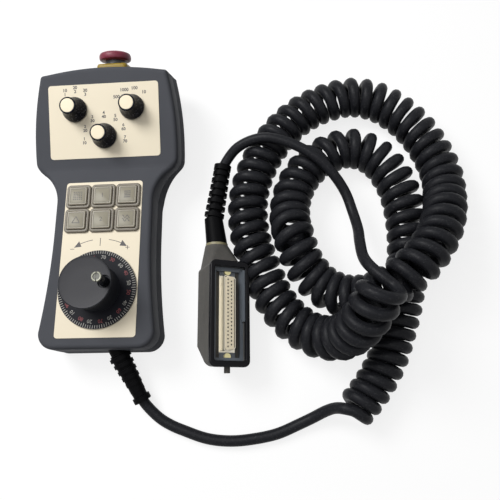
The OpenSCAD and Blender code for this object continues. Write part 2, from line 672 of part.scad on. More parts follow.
lead_path = [
  [27.5, -75.1, 10.5], [31, -82, 8.2], [36.5, -88.5, 5.8], [44, -96, 4.4],
  [62, -106, 4.2], [81, -112, 4.2], [98, -113.5, 4.2], [115, -111.5, 4.2],
  [132, -106.5, 4.2], [148, -100, 5], [161, -96.5, 8], [172, -96.5, 12], [181, -94.5, 15], [189, -89.5, 15.5]
];
coil_path = [
  [188, -90.5, 15.5], [202, -74, 15.5], [213, -55.5, 15.5], [221, -35, 15.5],
  [227.5, -14.5, 15.5], [232.5, 6.5, 15.5], [236, 28, 15.5], [237, 49.5, 15.5],
  [235, 71.5, 15.5], [228.5, 92, 15.5], [216, 109.5, 15.5], [196, 117.5, 15.5],
  [175.5, 111.5, 15.5], [159, 97.5, 16], [149, 78.5, 17], [146, 57.5, 21],
  [149, 38, 29.5], [155.5, 18.5, 26], [168.5, 2, 22], [186.5, -8, 27.5],
  [205.5, -8.5, 37.5], [223, -0, 46], [239.5, 14, 46.5], [252, 31, 42.5],
  [260.5, 49.5, 35.5], [265.5, 68, 25.5], [267, 88.5, 19], [262, 109.5, 16.5],
  [252.5, 129, 16], [239, 146, 15.5], [221.5, 159, 15.5], [201, 164.5, 15.5],
  [179.5, 160.5, 15.5], [160, 151.5, 15.5], [143.5, 137.5, 15.5], [131, 120, 15.5],
  [121.5, 100.5, 15.5], [116, 79.5, 15.5], [115, 58, 15.5], [118.5, 36.5, 15.5],
  [125.5, 16.5, 15.5], [133, -4, 15.5], [145.5, -21.5, 17.5], [162.5, -34, 21.5],
  [180, -38.5, 33], [193, -35.5, 50], [203.5, -25.5, 66], [213.5, -10, 77]
];
tail_path = [
  [213.3, -13, 75], [212.5, -4, 69], [207, 5, 60], [202.5, 16, 50], [200, 30, 40],
  [199.5, 44, 30], [196, 60, 24], [190.5, 75, 25], [181, 89, 31.5], [171, 99.5, 35.5],
  [158, 109, 37], [143, 116.5, 37.5], [128, 120.5, 36.5], [113, 119.5, 32], [104, 116, 28],
  [98, 111, 24], [92.5, 103.8, 20.6]
];

module cord_lead() color("#141519") tube(lead_path, cable_d, 10);
module curly_cord() color("#141519") tube(coil_path, coil_d, 12);
module cord_tail() color("#141519") tube(tail_path, cable_d, 10);

// ---- plug, built with z out of its face
plug_at = [100.5, -19, 35];
plug_roll = 28;
snout_y = 56;
snout_x = -2.5;
snout_z = -24;
ring_d = 17.7;
ring_h = 2;
hood_w = rim_w - 1.2;
hood_l = rim_l - 1.2;

module plug_place() {
  translate(plug_at) rotate([0, plug_roll, 0]) children();
}

module rounded(w, l, r, h) {
  linear_extrude(h) {
    translate([-w / 2 + r, -l / 2]) square([w - 2 * r, l]);
    translate([-w / 2, -l / 2 + r]) square([w, l - 2 * r]);
    for (x = [-1, 1]) for (y = [-1, 1]) translate([x * (w / 2 - r), y * (l / 2 - r)]) circle(r, $fn = 32);
  }
}

module plug_rim() color("#101115") plug_place() difference() {
  union() {
    translate([0, 0, -0.8]) rounded(rim_w - 1.2, rim_l - 1.2, 4, 0.8);
    translate([0, 0, -rim_h]) rounded(rim_w, rim_l, 4.6, rim_h - 0.8);
  }
  translate([0, 0, -rim_h - 1]) rounded(recess_w, recess_l, 1.5, rim_h + 2);
}

module plug_hood() color("#6e6f6c") plug_place() difference() {
  union() {
    intersection() {
      translate([0, 0, -plug_h]) rounded(hood_w, hood_l, 4, plug_h - rim_h);
      translate([-rim_w / 2, 0, 0]) rotate([90, 0, 90]) linear_extrude(rim_w) polygon([
        [-hood_l / 2, -rim_h], [-hood_l / 2, -9], [-22.5, -plug_h], [hood_l / 2, -plug_h], [hood_l / 2, -rim_h]]);
    }
    hull() {
      translate([-hood_w / 2 + 1, hood_l / 2 - 8, -plug_h + 0.5]) cube([hood_w - 3, 4, plug_h - 8]);
      translate([-hood_w / 2 + 3, hood_l / 2 + 4, -plug_h + 1]) cube([hood_w - 7, 1, plug_h - 15]);
      translate([snout_x, snout_y - 3, snout_z]) rotate([-90, 0, 0]) cylinder(d = ring_d + 1, h = 3, $fn = 32);
    }
  }
  translate([0, 0, -recess_h]) rounded(recess_w, recess_l, 1.5, plug_h);
  translate([0, 0, -recess_h - 6]) rounded(insert_w + 3, insert_l + 3, 1, 8);
  for (y = [-flange_pitch / 2, flange_pitch / 2]) translate([0, y, -recess_h - 6])
    cylinder(d = 3, h = 8, $fn = 24);
  translate([0, -hood_l / 2 - 1, -7]) rotate([-90, 0, 0]) cylinder(d = 4.6, h = 5, $fn = 24);
}

module plug_ring() color("#b8ac70") plug_place() translate([snout_x, snout_y, snout_z]) rotate([-90, 0, 0])
  cylinder(d = ring_d, h = ring_h, $fn = 48);

module locking_peg() color("#7c7d7c") plug_place() translate([0, -rim_l / 2 - 4, -7]) rotate([-90, 0, 0]) {
  cylinder(d = 4.5, h = 7.5, $fn = 24);
}

flange_low = -recess_h;
flange_t = 1;
insert_high = -1.3;
shell_t = 0.5;

module d_profile(w, l) {
  polygon([[-w / 2, -l / 2 + 0.8], [-w / 2 + 0.8, -l / 2], [w / 2 - 0.8, -l / 2 + 1.2], [w / 2, -l / 2 + 2.2],
    [w / 2, l / 2 - 2.2], [w / 2 - 0.8, l / 2 - 1.2], [-w / 2 + 0.8, l / 2], [-w / 2, l / 2 - 0.8]]);
}

module dsub_shell() color("#cfc9b8") plug_place() translate([0, 0, flange_low]) difference() {
  union() {
    rounded(12.5, flange_l, 1, flange_t);
    linear_extrude(insert_high - flange_low - 0.2) d_profile(insert_w + 2 * shell_t + 0.1, insert_l + 2 * shell_t + 0.1);
  }
  translate([0, 0, -1]) linear_extrude(12) d_profile(insert_w + 0.1, insert_l + 0.1);
  for (y = [-flange_pitch / 2, flange_pitch / 2]) translate([0, y, -1]) cylinder(d = 3.2, h = 4, $fn = 24);
}

module dsub_insert() color("#f0e6cc") plug_place() translate([0, 0, flange_low]) {
  linear_extrude(insert_high - flange_low) d_profile(insert_w, insert_l);
  translate([-insert_w / 2 - 0.5, -insert_l / 2 - 0.5, -5]) cube([insert_w + 1, insert_l + 1, 4.9]);
  translate([-insert_w / 2 + 1, -insert_l / 2 + 2, -4]) cube([insert_w - 2, insert_l - 4, 5]);
}

module dsub_screws() color("#b9b6ac") plug_place() for (y = [-flange_pitch / 2, flange_pitch / 2])
  translate([0, y, flange_low]) {
    translate([0, 0, -5]) cylinder(d = 2.9, h = 6, $fn = 24);
    translate([0, 0, flange_t]) cylinder(d = 5, h = 1.8, $fn = 24);
  }

// strain relief at the plug: a smooth taper, then ribs on a slightly turned axis
boot_start_d = 17;
boot_neck_d = 14.6;
boot_rib_d = 16;
boot_core_d = 10.5;
boot_collar_d = 14;
boot_taper_l = 22;
boot_rib_pitch = 5.8;
boot_ribs = 7;
boot_from = [87, plug_at[1] + snout_y + ring_h, 15];
boot_turn = [3, 0, 7];
boot_bend = [3, 0, -17];

module boot_place() {
  translate(boot_from) rotate(boot_turn) rotate([-90, 0, 0]) children();
}
module boot_end_place() {
  translate(boot_from) rotate(boot_turn) translate([0, boot_taper_l - 1, 0]) rotate(boot_bend) rotate([-90, 0, 0])
    children();
}

module plug_strain_relief() color("#17181c") difference() {
  union() {
    difference() {
      boot_place() translate([0, 0, -2]) cylinder(d1 = boot_start_d, d2 = boot_neck_d, h = boot_taper_l + 2, $fn = 48);
      translate([boot_from[0] - ring_d, boot_from[1] - 10, 0]) cube([2 * ring_d, 10, 2 * boot_from[2] + ring_d]);
    }
    boot_end_place() {
      cylinder(d = boot_core_d, h = boot_rib_pitch * (boot_ribs + 1), $fn = 32);
      for (i = [0:boot_ribs - 1]) translate([0, 0, 2 + i * boot_rib_pitch])
        cylinder(d = boot_rib_d - 0.35 * i, h = 3.2, $fn = 32);
      translate([0, 0, boot_rib_pitch * boot_ribs + 1]) cylinder(d = boot_collar_d, h = 4.4, $fn = 32);
    }
  }
  boot_end_place() translate([0, 0, boot_rib_pitch * boot_ribs - 2]) cylinder(d = cable_d, h = 12, $fn = 32);
}

front_shell();
rear_shell();
housing_screws();
head_label();
grip_label();
left_knob();
right_knob();
centre_knob();
left_knob_cap();
right_knob_cap();
centre_knob_cap();
left_switch();
right_switch();
centre_switch();
left_shaft();
right_shaft();
centre_shaft();
switch_nuts();
key_upper_left();
key_upper_centre();
key_upper_right();
key_lower_left();
key_lower_centre();
key_lower_right();
key_switches();
circuit_board();
board_screws();
dial_disc();
wheel_knob();
crank_peg();
crank_screw();
encoder_shaft();
encoder_body();
encoder_screws();
estop_collar();
estop_body();
estop_nut();
estop_plunger();
estop_cap();
housing_strain_relief();
cord_lead();
curly_cord();
cord_tail();
plug_strain_relief();
plug_ring();
plug_hood();
plug_rim();
locking_peg();
dsub_shell();
dsub_insert();
dsub_screws();
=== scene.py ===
import math

import bmesh
import bpy
from mathutils import Matrix, Vector


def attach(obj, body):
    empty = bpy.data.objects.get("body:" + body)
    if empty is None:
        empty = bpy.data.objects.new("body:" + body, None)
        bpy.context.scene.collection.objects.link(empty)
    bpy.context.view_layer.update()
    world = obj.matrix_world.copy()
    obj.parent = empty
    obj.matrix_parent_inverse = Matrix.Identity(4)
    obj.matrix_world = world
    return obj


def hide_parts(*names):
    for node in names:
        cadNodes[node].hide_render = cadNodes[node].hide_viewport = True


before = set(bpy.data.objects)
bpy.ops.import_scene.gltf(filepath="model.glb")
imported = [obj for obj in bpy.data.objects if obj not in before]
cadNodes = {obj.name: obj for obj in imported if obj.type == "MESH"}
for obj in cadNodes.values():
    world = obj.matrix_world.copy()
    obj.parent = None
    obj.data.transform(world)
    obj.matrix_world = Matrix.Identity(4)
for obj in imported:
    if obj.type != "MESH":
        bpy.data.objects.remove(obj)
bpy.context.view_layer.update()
mm = 0.001  # every size and place below is in millimetres, but for the camera, lamps and floor


# camera
cameraPlan = {
    "place": (0.1462, -0.0840, 0.4285),
    "aim": (0.1125, 0.0380, 0.0),
    "up": (0.0307, 0.9620, 0.2715),
    "lens": 39.02,
    "sensor": 36.0,
}


def makeCamera(plan):
    data = bpy.data.cameras.new("handCamera")
    data.lens = plan["lens"]
    data.sensor_width = plan["sensor"]
    data.clip_start, data.clip_end = 0.01, 20.0
    camera = bpy.data.objects.new("handCamera", data)
    back = (Vector(plan["place"]) - Vector(plan["aim"])).normalized()
    right = Vector(plan["up"]).cross(back).normalized()
    up = back.cross(right)
    turn = Matrix((right, up, back)).transposed().to_4x4()
    camera.matrix_world = Matrix.Translation(plan["place"]) @ turn
    bpy.context.scene.collection.objects.link(camera)
    bpy.context.scene.camera = camera


makeCamera(cameraPlan)
bpy.context.scene.view_settings.view_transform = "Standard"
print("camera ready")


# shader groups and finishes
def newGroup(name, inputs, outputs):
    group = bpy.data.node_groups.new(name, "ShaderNodeTree")
    for label, kind, value in inputs:
        socket = group.interface.new_socket(name=label, in_out="INPUT", socket_type=kind)
        socket.default_value = value
    for label, kind in outputs:
        group.interface.new_socket(name=label, in_out="OUTPUT", socket_type=kind)
    return group, group.nodes.new("NodeGroupInput"), group.nodes.new("NodeGroupOutput")


def addNode(tree, kind, links=(), **values):
    node = tree.nodes.new(kind)
    for key, value in values.items():
        setattr(node, key, value)
    for name, value in links:
        target = node.inputs[name]
        if isinstance(value, bpy.types.NodeSocket):
            tree.links.new(value, target)
        else:
            target.default_value = value
    return node


speckPlan = {"scale": 700.0, "detail": 4.0, "roughness": 0.7, "from": 0.56, "to": 0.68}


def buildGrain(speckPlan):
    group, given, out = newGroup(
        "mouldGrain",
        [("Scale", "NodeSocketFloat", 900.0), ("Patch Scale", "NodeSocketFloat", 25.0)],
        [("Height", "NodeSocketFloat"), ("Patch", "NodeSocketFloat"), ("Speck", "NodeSocketFloat")],
    )
    place = addNode(group, "ShaderNodeTexCoord")
    fine = addNode(group, "ShaderNodeTexNoise", [
        ("Vector", place.outputs["Object"]), ("Scale", given.outputs["Scale"]),
        ("Detail", 2.0), ("Roughness", 0.6)])
    patch = addNode(group, "ShaderNodeTexNoise", [
        ("Vector", place.outputs["Object"]), ("Scale", given.outputs["Patch Scale"]), ("Detail", 3.0)])
    dust = addNode(group, "ShaderNodeTexNoise", [
        ("Vector", place.outputs["Object"]), ("Scale", speckPlan["scale"]),
        ("Detail", speckPlan["detail"]), ("Roughness", speckPlan["roughness"])])
    speck = addNode(group, "ShaderNodeMapRange", [
        ("Value", dust.outputs["Fac"]), ("From Min", speckPlan["from"]), ("From Max", speckPlan["to"])])
    group.links.new(fine.outputs["Fac"], out.inputs["Height"])
    group.links.new(patch.outputs["Fac"], out.inputs["Patch"])
    group.links.new(speck.outputs["Result"], out.inputs["Speck"])
    return group


grainGroup = buildGrain(speckPlan)
plainPlan = {  # what a finish has where its own plan says nothing
    "grain": 900.0, "patch": 25.0, "shade": 0.08, "polish": 0.06, "bump": 0.0, "depth": 0.0001,
    "metallic": 0.0, "specular": 0.5, "dust": None,
}


def newFinish(name, ownPlan):
    plan = {**plainPlan, **ownPlan}
    material = bpy.data.materials.new(name)
    material.use_nodes = True
    tree = material.node_tree
    shader = tree.nodes["Principled BSDF"]
    grain = addNode(tree, "ShaderNodeGroup", node_tree=grainGroup)
    grain.inputs["Scale"].default_value = plan["grain"]
    grain.inputs["Patch Scale"].default_value = plan["patch"]
    color, shade = plan["color"], plan["shade"]
    mix = addNode(tree, "ShaderNodeMix", [("Factor", grain.outputs["Patch"])], data_type="RGBA")
    mix.inputs[6].default_value = tuple(c * (1 - shade) for c in color) + (1,)
    mix.inputs[7].default_value = tuple(min(1, c * (1 + shade)) for c in color) + (1,)
    seen = mix.outputs[2]
    if plan["dust"]:
        dustColor, dustCover = plan["dust"]
        cover = addNode(tree, "ShaderNodeMath", [
            (0, grain.outputs["Speck"]), (1, dustCover)], operation="MULTIPLY")
        dusty = addNode(tree, "ShaderNodeMix", [("Factor", cover.outputs[0])], data_type="RGBA")
        tree.links.new(seen, dusty.inputs[6])
        dusty.inputs[7].default_value = dustColor + (1,)
        seen = dusty.outputs[2]
    tree.links.new(seen, shader.inputs["Base Color"])
    rough, spread = plan["roughness"], plan["polish"]
    gloss = addNode(tree, "ShaderNodeMapRange", [
        ("Value", grain.outputs["Patch"]), ("To Min", rough - spread), ("To Max", rough + spread)])
    tree.links.new(gloss.outputs["Result"], shader.inputs["Roughness"])
    if plan["bump"]:
        bump = addNode(tree, "ShaderNodeBump", [
            ("Height", grain.outputs["Height"]), ("Strength", plan["bump"]), ("Distance", plan["depth"])])
        tree.links.new(bump.outputs["Normal"], shader.inputs["Normal"])
    shader.inputs["Metallic"].default_value = plan["metallic"]
    shader.inputs["Specular IOR Level"].default_value = plan["specular"]
    return material


finishPlans = {  # dust is a colour and how much of each speck it covers
    "housingPlastic": {"color": (0.072, 0.075, 0.085), "roughness": 0.6, "bump": 0.3, "grain": 1500.0,
                       "shade": 0.12, "specular": 0.05},
    "labelFoil": {"color": (0.81, 0.725, 0.56), "roughness": 0.55, "bump": 0.04, "grain": 2500.0,
                  "shade": 0.02, "specular": 0.3},
    "labelInk": {"color": (0.062, 0.056, 0.055), "roughness": 0.6},
    "greyInk": {"color": (0.085, 0.078, 0.075), "roughness": 0.6},
    "dialInk": {"color": (0.36, 0.35, 0.32), "roughness": 0.6},
    "dialInkRed": {"color": (0.21, 0.03, 0.035), "roughness": 0.6},
    "dialAlloy": {"color": (0.006, 0.0065, 0.010), "roughness": 0.5, "polish": 0.08, "specular": 0.1},
    "knobPlastic": {"color": (0.0055, 0.0065, 0.012), "roughness": 0.3, "bump": 0.35, "grain": 700.0,
                    "dust": ((0.20, 0.21, 0.26), 0.7), "specular": 0.05},
    "capPlastic": {"color": (0.87, 0.76, 0.55), "roughness": 0.4, "shade": 0.03},
    "wheelPlastic": {"color": (0.012, 0.012, 0.016), "roughness": 0.4, "bump": 0.12, "grain": 1600.0,
                     "specular": 0.18},
    # the flank's finish is a darker copy of the wheel's plastic: painted shade on the side that faces away
    # from the lamps
    "wheelFlankShade": {"color": (0.010, 0.011, 0.014), "roughness": 0.5, "bump": 0.15, "grain": 1600.0,
                   "specular": 0.15},
    "pegPlastic": {"color": (0.010, 0.011, 0.014), "roughness": 0.16},
    "screwMetal": {"color": (0.19, 0.19, 0.15), "roughness": 0.4, "metallic": 0.4,
                   "shade": 0.3, "patch": 500.0},
    # the screw's centre finish is a darker copy of its metal: painted shade in the socket's recess
    "screwRecessShade": {"color": (0.07, 0.07, 0.06), "roughness": 0.45, "metallic": 0.4,
                  "shade": 0.4, "patch": 700.0},
    "keySkirt": {"color": (0.195, 0.173, 0.138), "roughness": 0.36, "shade": 0.1, "polish": 0.05,
                 "specular": 0.3},
    # the rim's lighter finish is its own colour on the rim's top and a painted glow on the window's sides,
    # for light through the cap
    "keyRimAndGlow": {"color": (0.32, 0.290, 0.227), "roughness": 0.34, "shade": 0.05, "specular": 0.3},
    "keyWindow": {"color": (0.258, 0.236, 0.177), "roughness": 0.4, "shade": 0.08, "patch": 160.0,
                  "specular": 0.3},
    "keyInk": {"color": (0.065, 0.06, 0.052), "roughness": 0.5},
    # the keys' dark bands: at the skirt's foot grime and painted shade, in the groove round the window
    # painted shade
    "keyGrimeAndShade": {"color": (0.085, 0.072, 0.055), "roughness": 0.6, "shade": 0.5, "patch": 260.0},
    "stopYellow": {"color": (0.26, 0.175, 0.014), "roughness": 0.4, "shade": 0.08, "specular": 0.3},
    "stopRed": {"color": (0.19, 0.026, 0.048), "roughness": 0.4, "shade": 0.3, "patch": 120.0,
                "specular": 0.3},
    "stopBlack": {"color": (0.012, 0.014, 0.019), "roughness": 0.4},
    "cableRubber": {"color": (0.0105, 0.011, 0.0135), "roughness": 0.42, "bump": 0.25, "grain": 1500.0,
                    "polish": 0.08, "dust": ((0.06, 0.06, 0.063), 0.5), "specular": 0.1},
    "bootRubber": {"color": (0.004, 0.004, 0.0045), "roughness": 0.45, "bump": 0.15, "grain": 1600.0,
                   "specular": 0.03},
    "hoodPlastic": {"color": (0.083, 0.080, 0.074), "roughness": 0.6, "bump": 0.2, "grain": 1500.0,
                    "shade": 0.3, "patch": 90.0, "dust": ((0.20, 0.15, 0.12), 0.35), "specular": 0.2},
    "recessLiner": {"color": (0.10, 0.115, 0.135), "roughness": 0.4, "shade": 0.2, "patch": 200.0},
    "rimRubber": {"color": (0.0035, 0.0035, 0.005), "roughness": 0.25, "specular": 0.12},
    "sealRubber": {"color": (0.24, 0.215, 0.12), "roughness": 0.5},
    "insertPlastic": {"color": (0.82, 0.725, 0.54), "roughness": 0.5, "shade": 0.03},
    # the dark discs at the floors of the plug's contact holes: painted shade
    "contactHole": {"color": (0.03, 0.028, 0.026), "roughness": 0.7},
    "plating": {"color": (0.66, 0.62, 0.52), "roughness": 0.38, "metallic": 1.0},
    "brassScrew": {"color": (0.62, 0.56, 0.30), "roughness": 0.3, "metallic": 0.8},
    "steel": {"color": (0.55, 0.54, 0.51), "roughness": 0.35, "metallic": 1.0},
    "boardGreen": {"color": (0.03, 0.10, 0.05), "roughness": 0.5},
}
finishes = {name: newFinish(name, plan) for name, plan in finishPlans.items()}
print("finishes ready:", len(finishes))


# mesh helpers, all in millimetres
def makeObject(name, vertices, faces, place=None, bands=None):
    mesh = bpy.data.meshes.new(name)
    mesh.from_pydata([(place @ Vector(v) if place else Vector(v)) * mm for v in vertices], [], faces)
    if bands:
        mesh.polygons.foreach_set("material_index", bands)
    work = bmesh.new()
    work.from_mesh(mesh)
    bmesh.ops.recalc_face_normals(work, faces=work.faces)
    work.to_mesh(mesh)
    work.free()
    piece = bpy.data.objects.new(name, mesh)
    bpy.context.scene.collection.objects.link(piece)
    return piece


def dress(piece, finish, body, sharp=35.0, swaps=()):
    mesh = piece.data
    mesh.polygons.foreach_set("use_smooth", [True] * len(mesh.polygons))
    mesh.set_sharp_from_angle(angle=math.radians(sharp))
    for item in ([finish] if isinstance(finish, str) else finish):
        mesh.materials.append(finishes[item])
    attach(piece, body)
    if swaps:
        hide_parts(*swaps)
    return piece


def carve(piece, cutters):  # the cutters are used up
    for cutter in cutters:
        step = piece.modifiers.new(cutter.name, "BOOLEAN")
        step.operation, step.solver, step.object = "DIFFERENCE", "EXACT", cutter
    seen = piece.evaluated_get(bpy.context.evaluated_depsgraph_get())
    mesh = bpy.data.meshes.new_from_object(seen)
    piece.modifiers.clear()
    piece.data = mesh
    for cutter in cutters:
        bpy.data.objects.remove(cutter)
    return piece


def stackRings(rings):
    count = len(rings[0])
    vertices = [p for ring in rings for p in ring]
    faces = []
    for r in range(len(rings) - 1):
        low, high = r * count, (r + 1) * count
        for i in range(count):
            j = (i + 1) % count
            faces.append((low + i, low + j, high + j, high + i))
    faces.append(tuple(range(count - 1, -1, -1)))
    faces.append(tuple(range((len(rings) - 1) * count, len(rings) * count)))
    return vertices, faces


def ringBands(rings, marks):  # one material index for each face that stackRings makes
    count = len(rings[0])
    bands = []
    for r in range(len(rings) - 1):
        bands += [marks[r]] * count
    return bands + [marks[0], marks[-1]]


roundShare = 0.48  # the most of a side that one rounding takes, so that two never meet


def roundProfile(points, steps=5):  # a point's third number is its rounding
    path = []
    for i, point in enumerate(points):
        here = Vector(point[:2])
        radius = point[2] if len(point) > 2 else 0
        if radius <= 0 or i in (0, len(points) - 1):
            path.append(here)
            continue
        before = Vector(points[i - 1][:2]) - here
        after = Vector(points[i + 1][:2]) - here
        reach = min(radius, before.length * roundShare, after.length * roundShare)
        start, end = here + before.normalized() * reach, here + after.normalized() * reach
        for k in range(steps + 1):
            t = k / steps
            path.append(start * (1 - t) ** 2 + here * 2 * t * (1 - t) + end * t * t)
    return path


def circleRing(radius, z, segments):
    turns = [2 * math.pi * i / segments for i in range(segments)]
    return [(radius * math.cos(a), radius * math.sin(a), z) for a in turns]


def latheRings(points, segments=96):
    return [circleRing(p.x, p.y, segments) for p in roundProfile(points)]


def lathe(points, segments=96):
    return stackRings(latheRings(points, segments))


def roundedSquare(width, length, radius, z, steps=6):
    ring = []
    for cx, cy, first in ((1, 1, 0), (-1, 1, 90), (-1, -1, 180), (1, -1, 270)):
        for k in range(steps + 1):
            a = math.radians(first + 90 * k / steps)
            ring.append((cx * (width / 2 - radius) + radius * math.cos(a),
                         cy * (length / 2 - radius) + radius * math.sin(a), z))
    return ring


def boxShape(low, high):
    ring = [(low[0], low[1]), (high[0], low[1]), (high[0], high[1]), (low[0], high[1])]
    return stackRings([[(x, y, z) for x, y in ring] for z in (low[2], high[2])])


def joinShapes(shapes):
    vertices, faces = [], []
    for points, sides in shapes:
        start = len(vertices)
        vertices += list(points)
        faces += [tuple(i + start for i in side) for side in sides]
    return vertices, faces


def moveShape(shape, place):
    return [tuple(place @ Vector(v)) for v in shape[0]], shape[1]


def turnX(degrees):
    return Matrix.Rotation(math.radians(degrees), 4, "X")


def turnY(degrees):
    return Matrix.Rotation(math.radians(degrees), 4, "Y")


def turnZ(degrees):
    return Matrix.Rotation(math.radians(degrees), 4, "Z")


def shift(x, y, z):
    return Matrix.Translation((x, y, z))


# printed marks: thin prisms on a plane
inkHeight = 0.05
letterSize = 1.36  # font size over the height of a capital


def prism(points):
    return stackRings([[(x, y, 0.0) for x, y in points], [(x, y, inkHeight) for x, y in points]])


def barMark(start, end, width):
    a, b = Vector(start), Vector(end)
    side = (b - a).orthogonal().normalized() * width / 2
    return prism([tuple(a - side), tuple(b - side), tuple(b + side), tuple(a + side)])


def textMark(words, height, x, y, turn=0.0, weight=0.0):
    data = bpy.data.curves.new("printedMark", "FONT")
    data.body, data.size = words, height * letterSize
    data.align_x, data.align_y = "CENTER", "CENTER"
    data.extrude, data.resolution_u, data.offset = inkHeight / 2, 3, weight
    shape = bpy.data.objects.new("printedMark", data)
    bpy.context.scene.collection.objects.link(shape)
    seen = shape.evaluated_get(bpy.context.evaluated_depsgraph_get())
    mesh = seen.to_mesh()
    place = shift(x, y, inkHeight / 2) @ turnZ(turn)
    result = ([tuple(place @ v.co) for v in mesh.vertices], [tuple(p.vertices) for p in mesh.polygons])
    seen.to_mesh_clear()
    bpy.data.objects.remove(shape)
    bpy.data.curves.remove(data)
    return result


def clockPlace(angle, radius):  # clockwise from twelve
    a = math.radians(angle)
    return radius * math.sin(a), radius * math.cos(a)


# places shared with the solids
slab = {  # bend and ends are measured along the face from the handwheel's axis
    "thick": 38.0, "bend": 98.7, "tilt": 17.05, "parting": 19.0, "label": 0.4, "skin": 5.0,
    "lowerEnd": 44.2, "upperEnd": 180.7, "endLean": 5.1, "stopX": 3.2, "stopDepth": 26.0,
    "headThick": 33.43, "headGrowth": 0.0912,  # the head grows thicker with each millimetre past the bend
}
cordEnds = {  # the grip's strain relief, and the plug's mating face
    "reliefX": 13.0, "reliefOut": 2.2, "reliefTurn": 27, "reliefDip": 15,
    "plug": (100.5, -19.0, 35.0), "plugTilt": 28,
}
stopV = slab["upperEnd"] - slab["bend"]
headPlace = shift(0, slab["bend"], slab["thick"]) @ turnX(slab["tilt"])
gripPlace = shift(0, 0, slab["thick"])
stopPlace = headPlace @ shift(
    slab["stopX"], stopV + (slab["stopDepth"] - slab["skin"]) * math.tan(math.radians(slab["endLean"])),
    -slab["stopDepth"]) @ turnX(slab["endLean"] - 90)
reliefPlace = shift(cordEnds["reliefX"], -slab["lowerEnd"] - cordEnds["reliefOut"], slab["parting"])
reliefPlace = reliefPlace @ turnZ(cordEnds["reliefTurn"]) @ turnX(cordEnds["reliefDip"] + 90)
plugPlace = shift(*cordEnds["plug"]) @ turnY(cordEnds["plugTilt"])
selectorSpots = {"left": (-23.35, 48.1), "right": (23.35, 48.1), "centre": (0.0, 26.2)}
keyColumns = {"left": -19.9, "centre": 0.0, "right": 19.9}
keyRows = {"lower": 54.85, "upper": 74.8}


# cord: one line from the housing's strain relief through the coil to the plug's
cordPlan = {  # coilRadius and turnPitch go by the share of the coil's length
    "diameter": 8.3,
    "coilDiameter": 9.1,
    "pointGap": 2.5,
    "axisGap": 1.0,
    "lookAlong": 5,
    "coilRadius": [(0.0, 10.4), (0.07, 10.6), (0.16, 11.9), (0.9, 11.9), (1.0, 12.6)],
    "turnPitch": [(0.0, 9.3), (0.08, 9.5), (0.15, 11.2), (0.5, 11.3), (0.7, 11.0), (1.0, 11.2)],
    "pointsPerTurn": 20,
    "lead": [
        (27.5, -75.1, 10.5), (31, -81.5, 8.2), (36.5, -88, 5.8), (44, -94.5, 4.6), (53, -99.5, 4.2),
        (62, -103, 4.2), (81, -109, 4.2), (98, -110.5, 4.2), (115, -109, 4.2), (132, -105.5, 4.2),
        (148, -99, 5.0), (159, -94, 7.5), (167, -90, 11.5), (174.5, -87.5, 18), (181, -88, 24.5)],
    "tail": [
        (201, 5.5, 61), (197.5, 16, 50), (197, 30, 40), (197.5, 44, 30), (195, 60, 24), (190.5, 75, 25),
        (181, 89, 31.5), (171, 99.5, 35.5), (158, 109, 37), (143, 116.5, 37.5), (128, 120.5, 36.5),
        (113, 119.5, 32), (104, 116, 28), (98, 111, 24), (92.5, 103.8, 20.6)],
    "coil": [
        (188, -90, 15), (202, -73.5, 15), (213.5, -55, 15.5), (221.5, -35, 16), (228, -14.5, 16.5),
        (232.5, 6.5, 16.5), (236, 28, 16.5), (237, 49.5, 16.5), (235, 71.5, 16.5), (228.5, 92, 16.5),
        (216, 109.5, 16.5), (196, 117.5, 16.5), (175.5, 111.5, 16.5), (159, 97.5, 17), (149, 78.5, 18),
        (146, 57.5, 22), (149, 38, 30), (155.5, 18.5, 27), (168.5, 2, 23), (186.5, -8, 28.5),
        (205.5, -8.5, 38.5), (223, 0, 47), (239.5, 14, 47.5), (252, 31, 43.5), (260.5, 49.5, 36.5),
        (265.5, 68, 26.5), (267, 88.5, 20), (262, 109.5, 17.5), (252.5, 129, 17), (239, 146, 16.5),
        (221.5, 159, 16.5), (201, 164.5, 16.5), (179.5, 160.5, 16.5), (160, 151.5, 16.5), (143, 137.5, 16.5),
        (129.5, 120, 16.5), (119.5, 100.5, 16.5), (113.5, 79.5, 16.5), (112.5, 58, 16.5), (116, 36.5, 16.5),
        (123, 16.5, 16.5), (131, -4, 16.5), (144, -22.5, 18.5), (161, -35, 22.5), (178, -39, 34),
        (189, -35, 51), (198, -24.5, 67), (206.5, -9.5, 77)
    ],
}


def smoothLine(points, step):
    knots = [Vector(p) for p in points]
    lengths = [0.0]
    for a, b in zip(knots, knots[1:]):
        lengths.append(lengths[-1] + (b - a).length)
    slopes = []
    for i in range(len(knots)):
        before, after = max(i - 1, 0), min(i + 1, len(knots) - 1)
        slope = (knots[after] - knots[before]) / (lengths[after] - lengths[before])
        if 0 < i < len(knots) - 1:
            near, far = lengths[i] - lengths[i - 1], lengths[i + 1] - lengths[i]
            into, out = (knots[i] - knots[i - 1]) / near, (knots[i + 1] - knots[i]) / far
            slope = (into * far + out * near) / (near + far)
        slopes.append(slope)
    total = max(2, round(lengths[-1] / step))
    line, k = [], 0
    for n in range(total + 1):
        reached = lengths[-1] * n / total
        while k < len(knots) - 2 and reached > lengths[k + 1]:
            k += 1
        span = lengths[k + 1] - lengths[k]
        s = (reached - lengths[k]) / span
        start = knots[k] * (2 * s ** 3 - 3 * s ** 2 + 1) + slopes[k] * span * (s ** 3 - 2 * s ** 2 + s)
        end = knots[k + 1] * (3 * s ** 2 - 2 * s ** 3) + slopes[k + 1] * span * (s ** 3 - s ** 2)
        line.append(start + end)
    return line


def lineLength(points):
    return sum((b - a).length for a, b in zip(points, points[1:]))


def along(table, share):
    for (a, low), (b, high) in zip(table, table[1:]):
        if share <= b:
            return low + (high - low) * (share - a) / (b - a)
    return table[-1][1]


